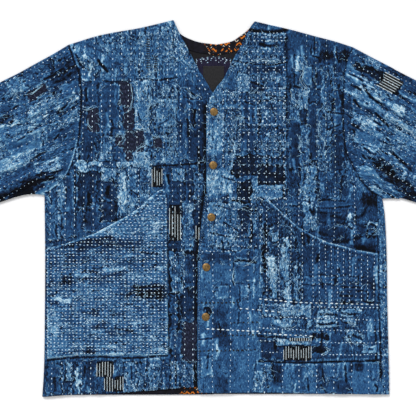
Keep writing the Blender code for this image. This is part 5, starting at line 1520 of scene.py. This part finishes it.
def stitchTree():  # runs stitches along the paths
    sizes = {key: "Float" for key in ("Pitch", "Length", "Width", "Jitter")}
    tree, sockets, given, curve = newGroup("runningStitch", {**sizes, "Seed": "Int", "Thread": "Material"})
    spaced = addNode(
        tree, "GeometryNodeResampleCurve", {"mode": "LENGTH"}, {"Curve": curve, "Length": given["Pitch"]})
    size = addNode(tree, "ShaderNodeCombineXYZ", None, (given["Length"], given["Width"], given["Width"]))
    grain = addNode(tree, "GeometryNodeMeshIcoSphere", None, {"Radius": 0.5, "Subdivisions": 1})
    stitch = addNode(tree, "GeometryNodeTransform", None, {"Geometry": grain, "Scale": size})
    tangent = addNode(tree, "GeometryNodeInputTangent")
    facing = addNode(tree, "FunctionNodeAlignRotationToVector", {"axis": "X"}, {"Vector": tangent})
    uneven = {2: 0.66, 3: 1.2, "Seed": given["Seed"]}
    spread = addNode(tree, "FunctionNodeRandomValue", {"data_type": "FLOAT"}, uneven, 1)
    sewnHere = {"Points": spaced, "Instance": stitch, "Rotation": facing, "Scale": spread}
    row = addNode(tree, "GeometryNodeInstanceOnPoints", None, sewnHere)
    shift = addNode(tree, "ShaderNodeCombineXYZ", None, (given["Jitter"], given["Jitter"], 0.0))
    back = addNode(tree, "ShaderNodeVectorMath", {"operation": "SCALE"}, {0: shift, "Scale": -1.0})
    limits = {0: back, 1: shift, "Seed": given["Seed"]}
    shove = addNode(tree, "FunctionNodeRandomValue", {"data_type": "FLOAT_VECTOR"}, limits)
    moves = {"Instances": row, "Translation": shove, "Local Space": False}
    finishGroup(tree, addNode(tree, "GeometryNodeTranslateInstances", None, moves), given["Thread"])
    return tree, sockets


def strandTree():  # sweeps a thread along the paths
    tree, sockets, given, curve = newGroup("laidStrand", {"Radius": "Float", "Thread": "Material"})
    sides = {"Resolution": 3, "Radius": given["Radius"]}
    ring = addNode(tree, "GeometryNodeCurvePrimitiveCircle", {"mode": "RADIUS"}, sides)
    swept = {"Curve": curve, "Profile Curve": ring, "Fill Caps": True}
    finishGroup(tree, addNode(tree, "GeometryNodeCurveToMesh", None, swept), given["Thread"])
    return tree, sockets


def addItem(name, data):
    item = bpy.data.objects.new(name, data)
    bpy.context.scene.collection.objects.link(item)
    return item


def grownPiece(name, runs, tree, values):  # evaluates the tree on the paths and keeps the plain mesh
    points, links = [], []
    for run in runs:
        links += [(len(points) + k, len(points) + k + 1) for k in range(len(run) - 1)]
        points += run
    mesh = bpy.data.meshes.new(name + "Paths")
    mesh.from_pydata(points, links, [])
    carrier = addItem(name + "Paths", mesh)
    grow = carrier.modifiers.new("grow", "NODES")
    grow.node_group = tree[0]
    for key, value in values.items():
        grow[tree[1][key]] = value
    carrier.update_tag()
    graph = bpy.context.evaluated_depsgraph_get()
    grown = bpy.data.meshes.new_from_object(carrier.evaluated_get(graph))
    bpy.data.objects.remove(carrier, do_unlink=True)
    if not grown.materials:
        grown.materials.append(values["Thread"])
    print(name, len(grown.polygons), "faces")
    return addItem(name, grown)


stitches, laid, sewn = stitchTree(), strandTree(), []
for key, look in threads.items():
    values = {word.capitalize(): look.get(word, 0.35) * mm for word in ("pitch", "length", "width", "jitter")}
    values.update({"Seed": 5, "Thread": look["material"]})
    sewn.append(grownPiece(key + "Stitches", paths[key], stitches, values))
for key, look in strands.items():
    sewn.append(grownPiece(key + "s", paths[key], laid, {"Radius": look["radius"] * mm, "Thread": look["material"]}))
print("stitches made")

pieces = {
    rightFront: ["right_front"], leftFront: ["left_front"], rightSleeve: ["right_sleeve"],
    leftSleeve: ["left_sleeve"], rightPocket: ["right_pocket"], leftPocket: ["left_pocket"], backCloth: ["back"],
    neckBand: ["neck_facing"], hemBand: ["hem_facing"], neckPatch: ["neck_patch"], satinLining: [], blankLabel: [],
}
for piece, nodes in pieces.items():
    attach(piece, "root")
    if nodes:
        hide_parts(*nodes)
for piece in sewn:
    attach(piece, "root")
for number in range(1, 6):  # the caps keep their solids and get tarnished brass
    cap = bpy.data.objects[f"snap_{number}"]
    cap.data.materials.clear()
    cap.data.materials.append(brass)

stage = {
    "floor": "#f7f7f8", "floorHalf": 6, "floorDrop": 0.0004, "sky": 0.72, "sun": 2.1, "sunAngle": 22.0,
    "sunWay": (0.35, -0.72, -0.75), "lens": 100.0, "sensor": 36.0, "field": 0.7696, "middle": (0.0, 0.0006, 0.006),
}
half, low = stage["floorHalf"], -stage["floorDrop"]
corners = [(-half, -half, low), (half, -half, low), (half, half, low), (-half, half, low)]
floorMesh = bpy.data.meshes.new("floor")
floorMesh.from_pydata(corners, [], [(0, 1, 2, 3)])
floor = addItem("floor", floorMesh)
floorMaterial, _, floorShader = newMaterial("whitePaper", 0.9)  # matt white, so the outline stays clear
floorShader.inputs["Base Color"].default_value = hexColor(stage["floor"])
floorMesh.materials.append(floorMaterial)

world = bpy.data.worlds.new("studio")
bpy.context.scene.world = world
world.use_nodes = True
world.node_tree.nodes["Background"].inputs["Color"].default_value = (1, 1, 1, 1)
world.node_tree.nodes["Background"].inputs["Strength"].default_value = stage["sky"]
sunData = bpy.data.lights.new("windowLight", "SUN")
sunData.energy = stage["sun"]
sunData.angle = math.radians(stage["sunAngle"])
sun = addItem("windowLight", sunData)
sun.rotation_mode = "QUATERNION"
sun.rotation_quaternion = Vector(stage["sunWay"]).to_track_quat("-Z", "Y")

cameraData = bpy.data.cameras.new("camera")
cameraData.lens = stage["lens"]
cameraData.sensor_width = stage["sensor"]
camera = addItem("camera", cameraData)
reach = stage["field"] * stage["lens"] / stage["sensor"]
camera.location = Vector(stage["middle"]) + Vector((0, 0, reach))
bpy.context.scene.camera = camera
bpy.context.scene.view_settings.view_transform = "Standard"
print("stage set")
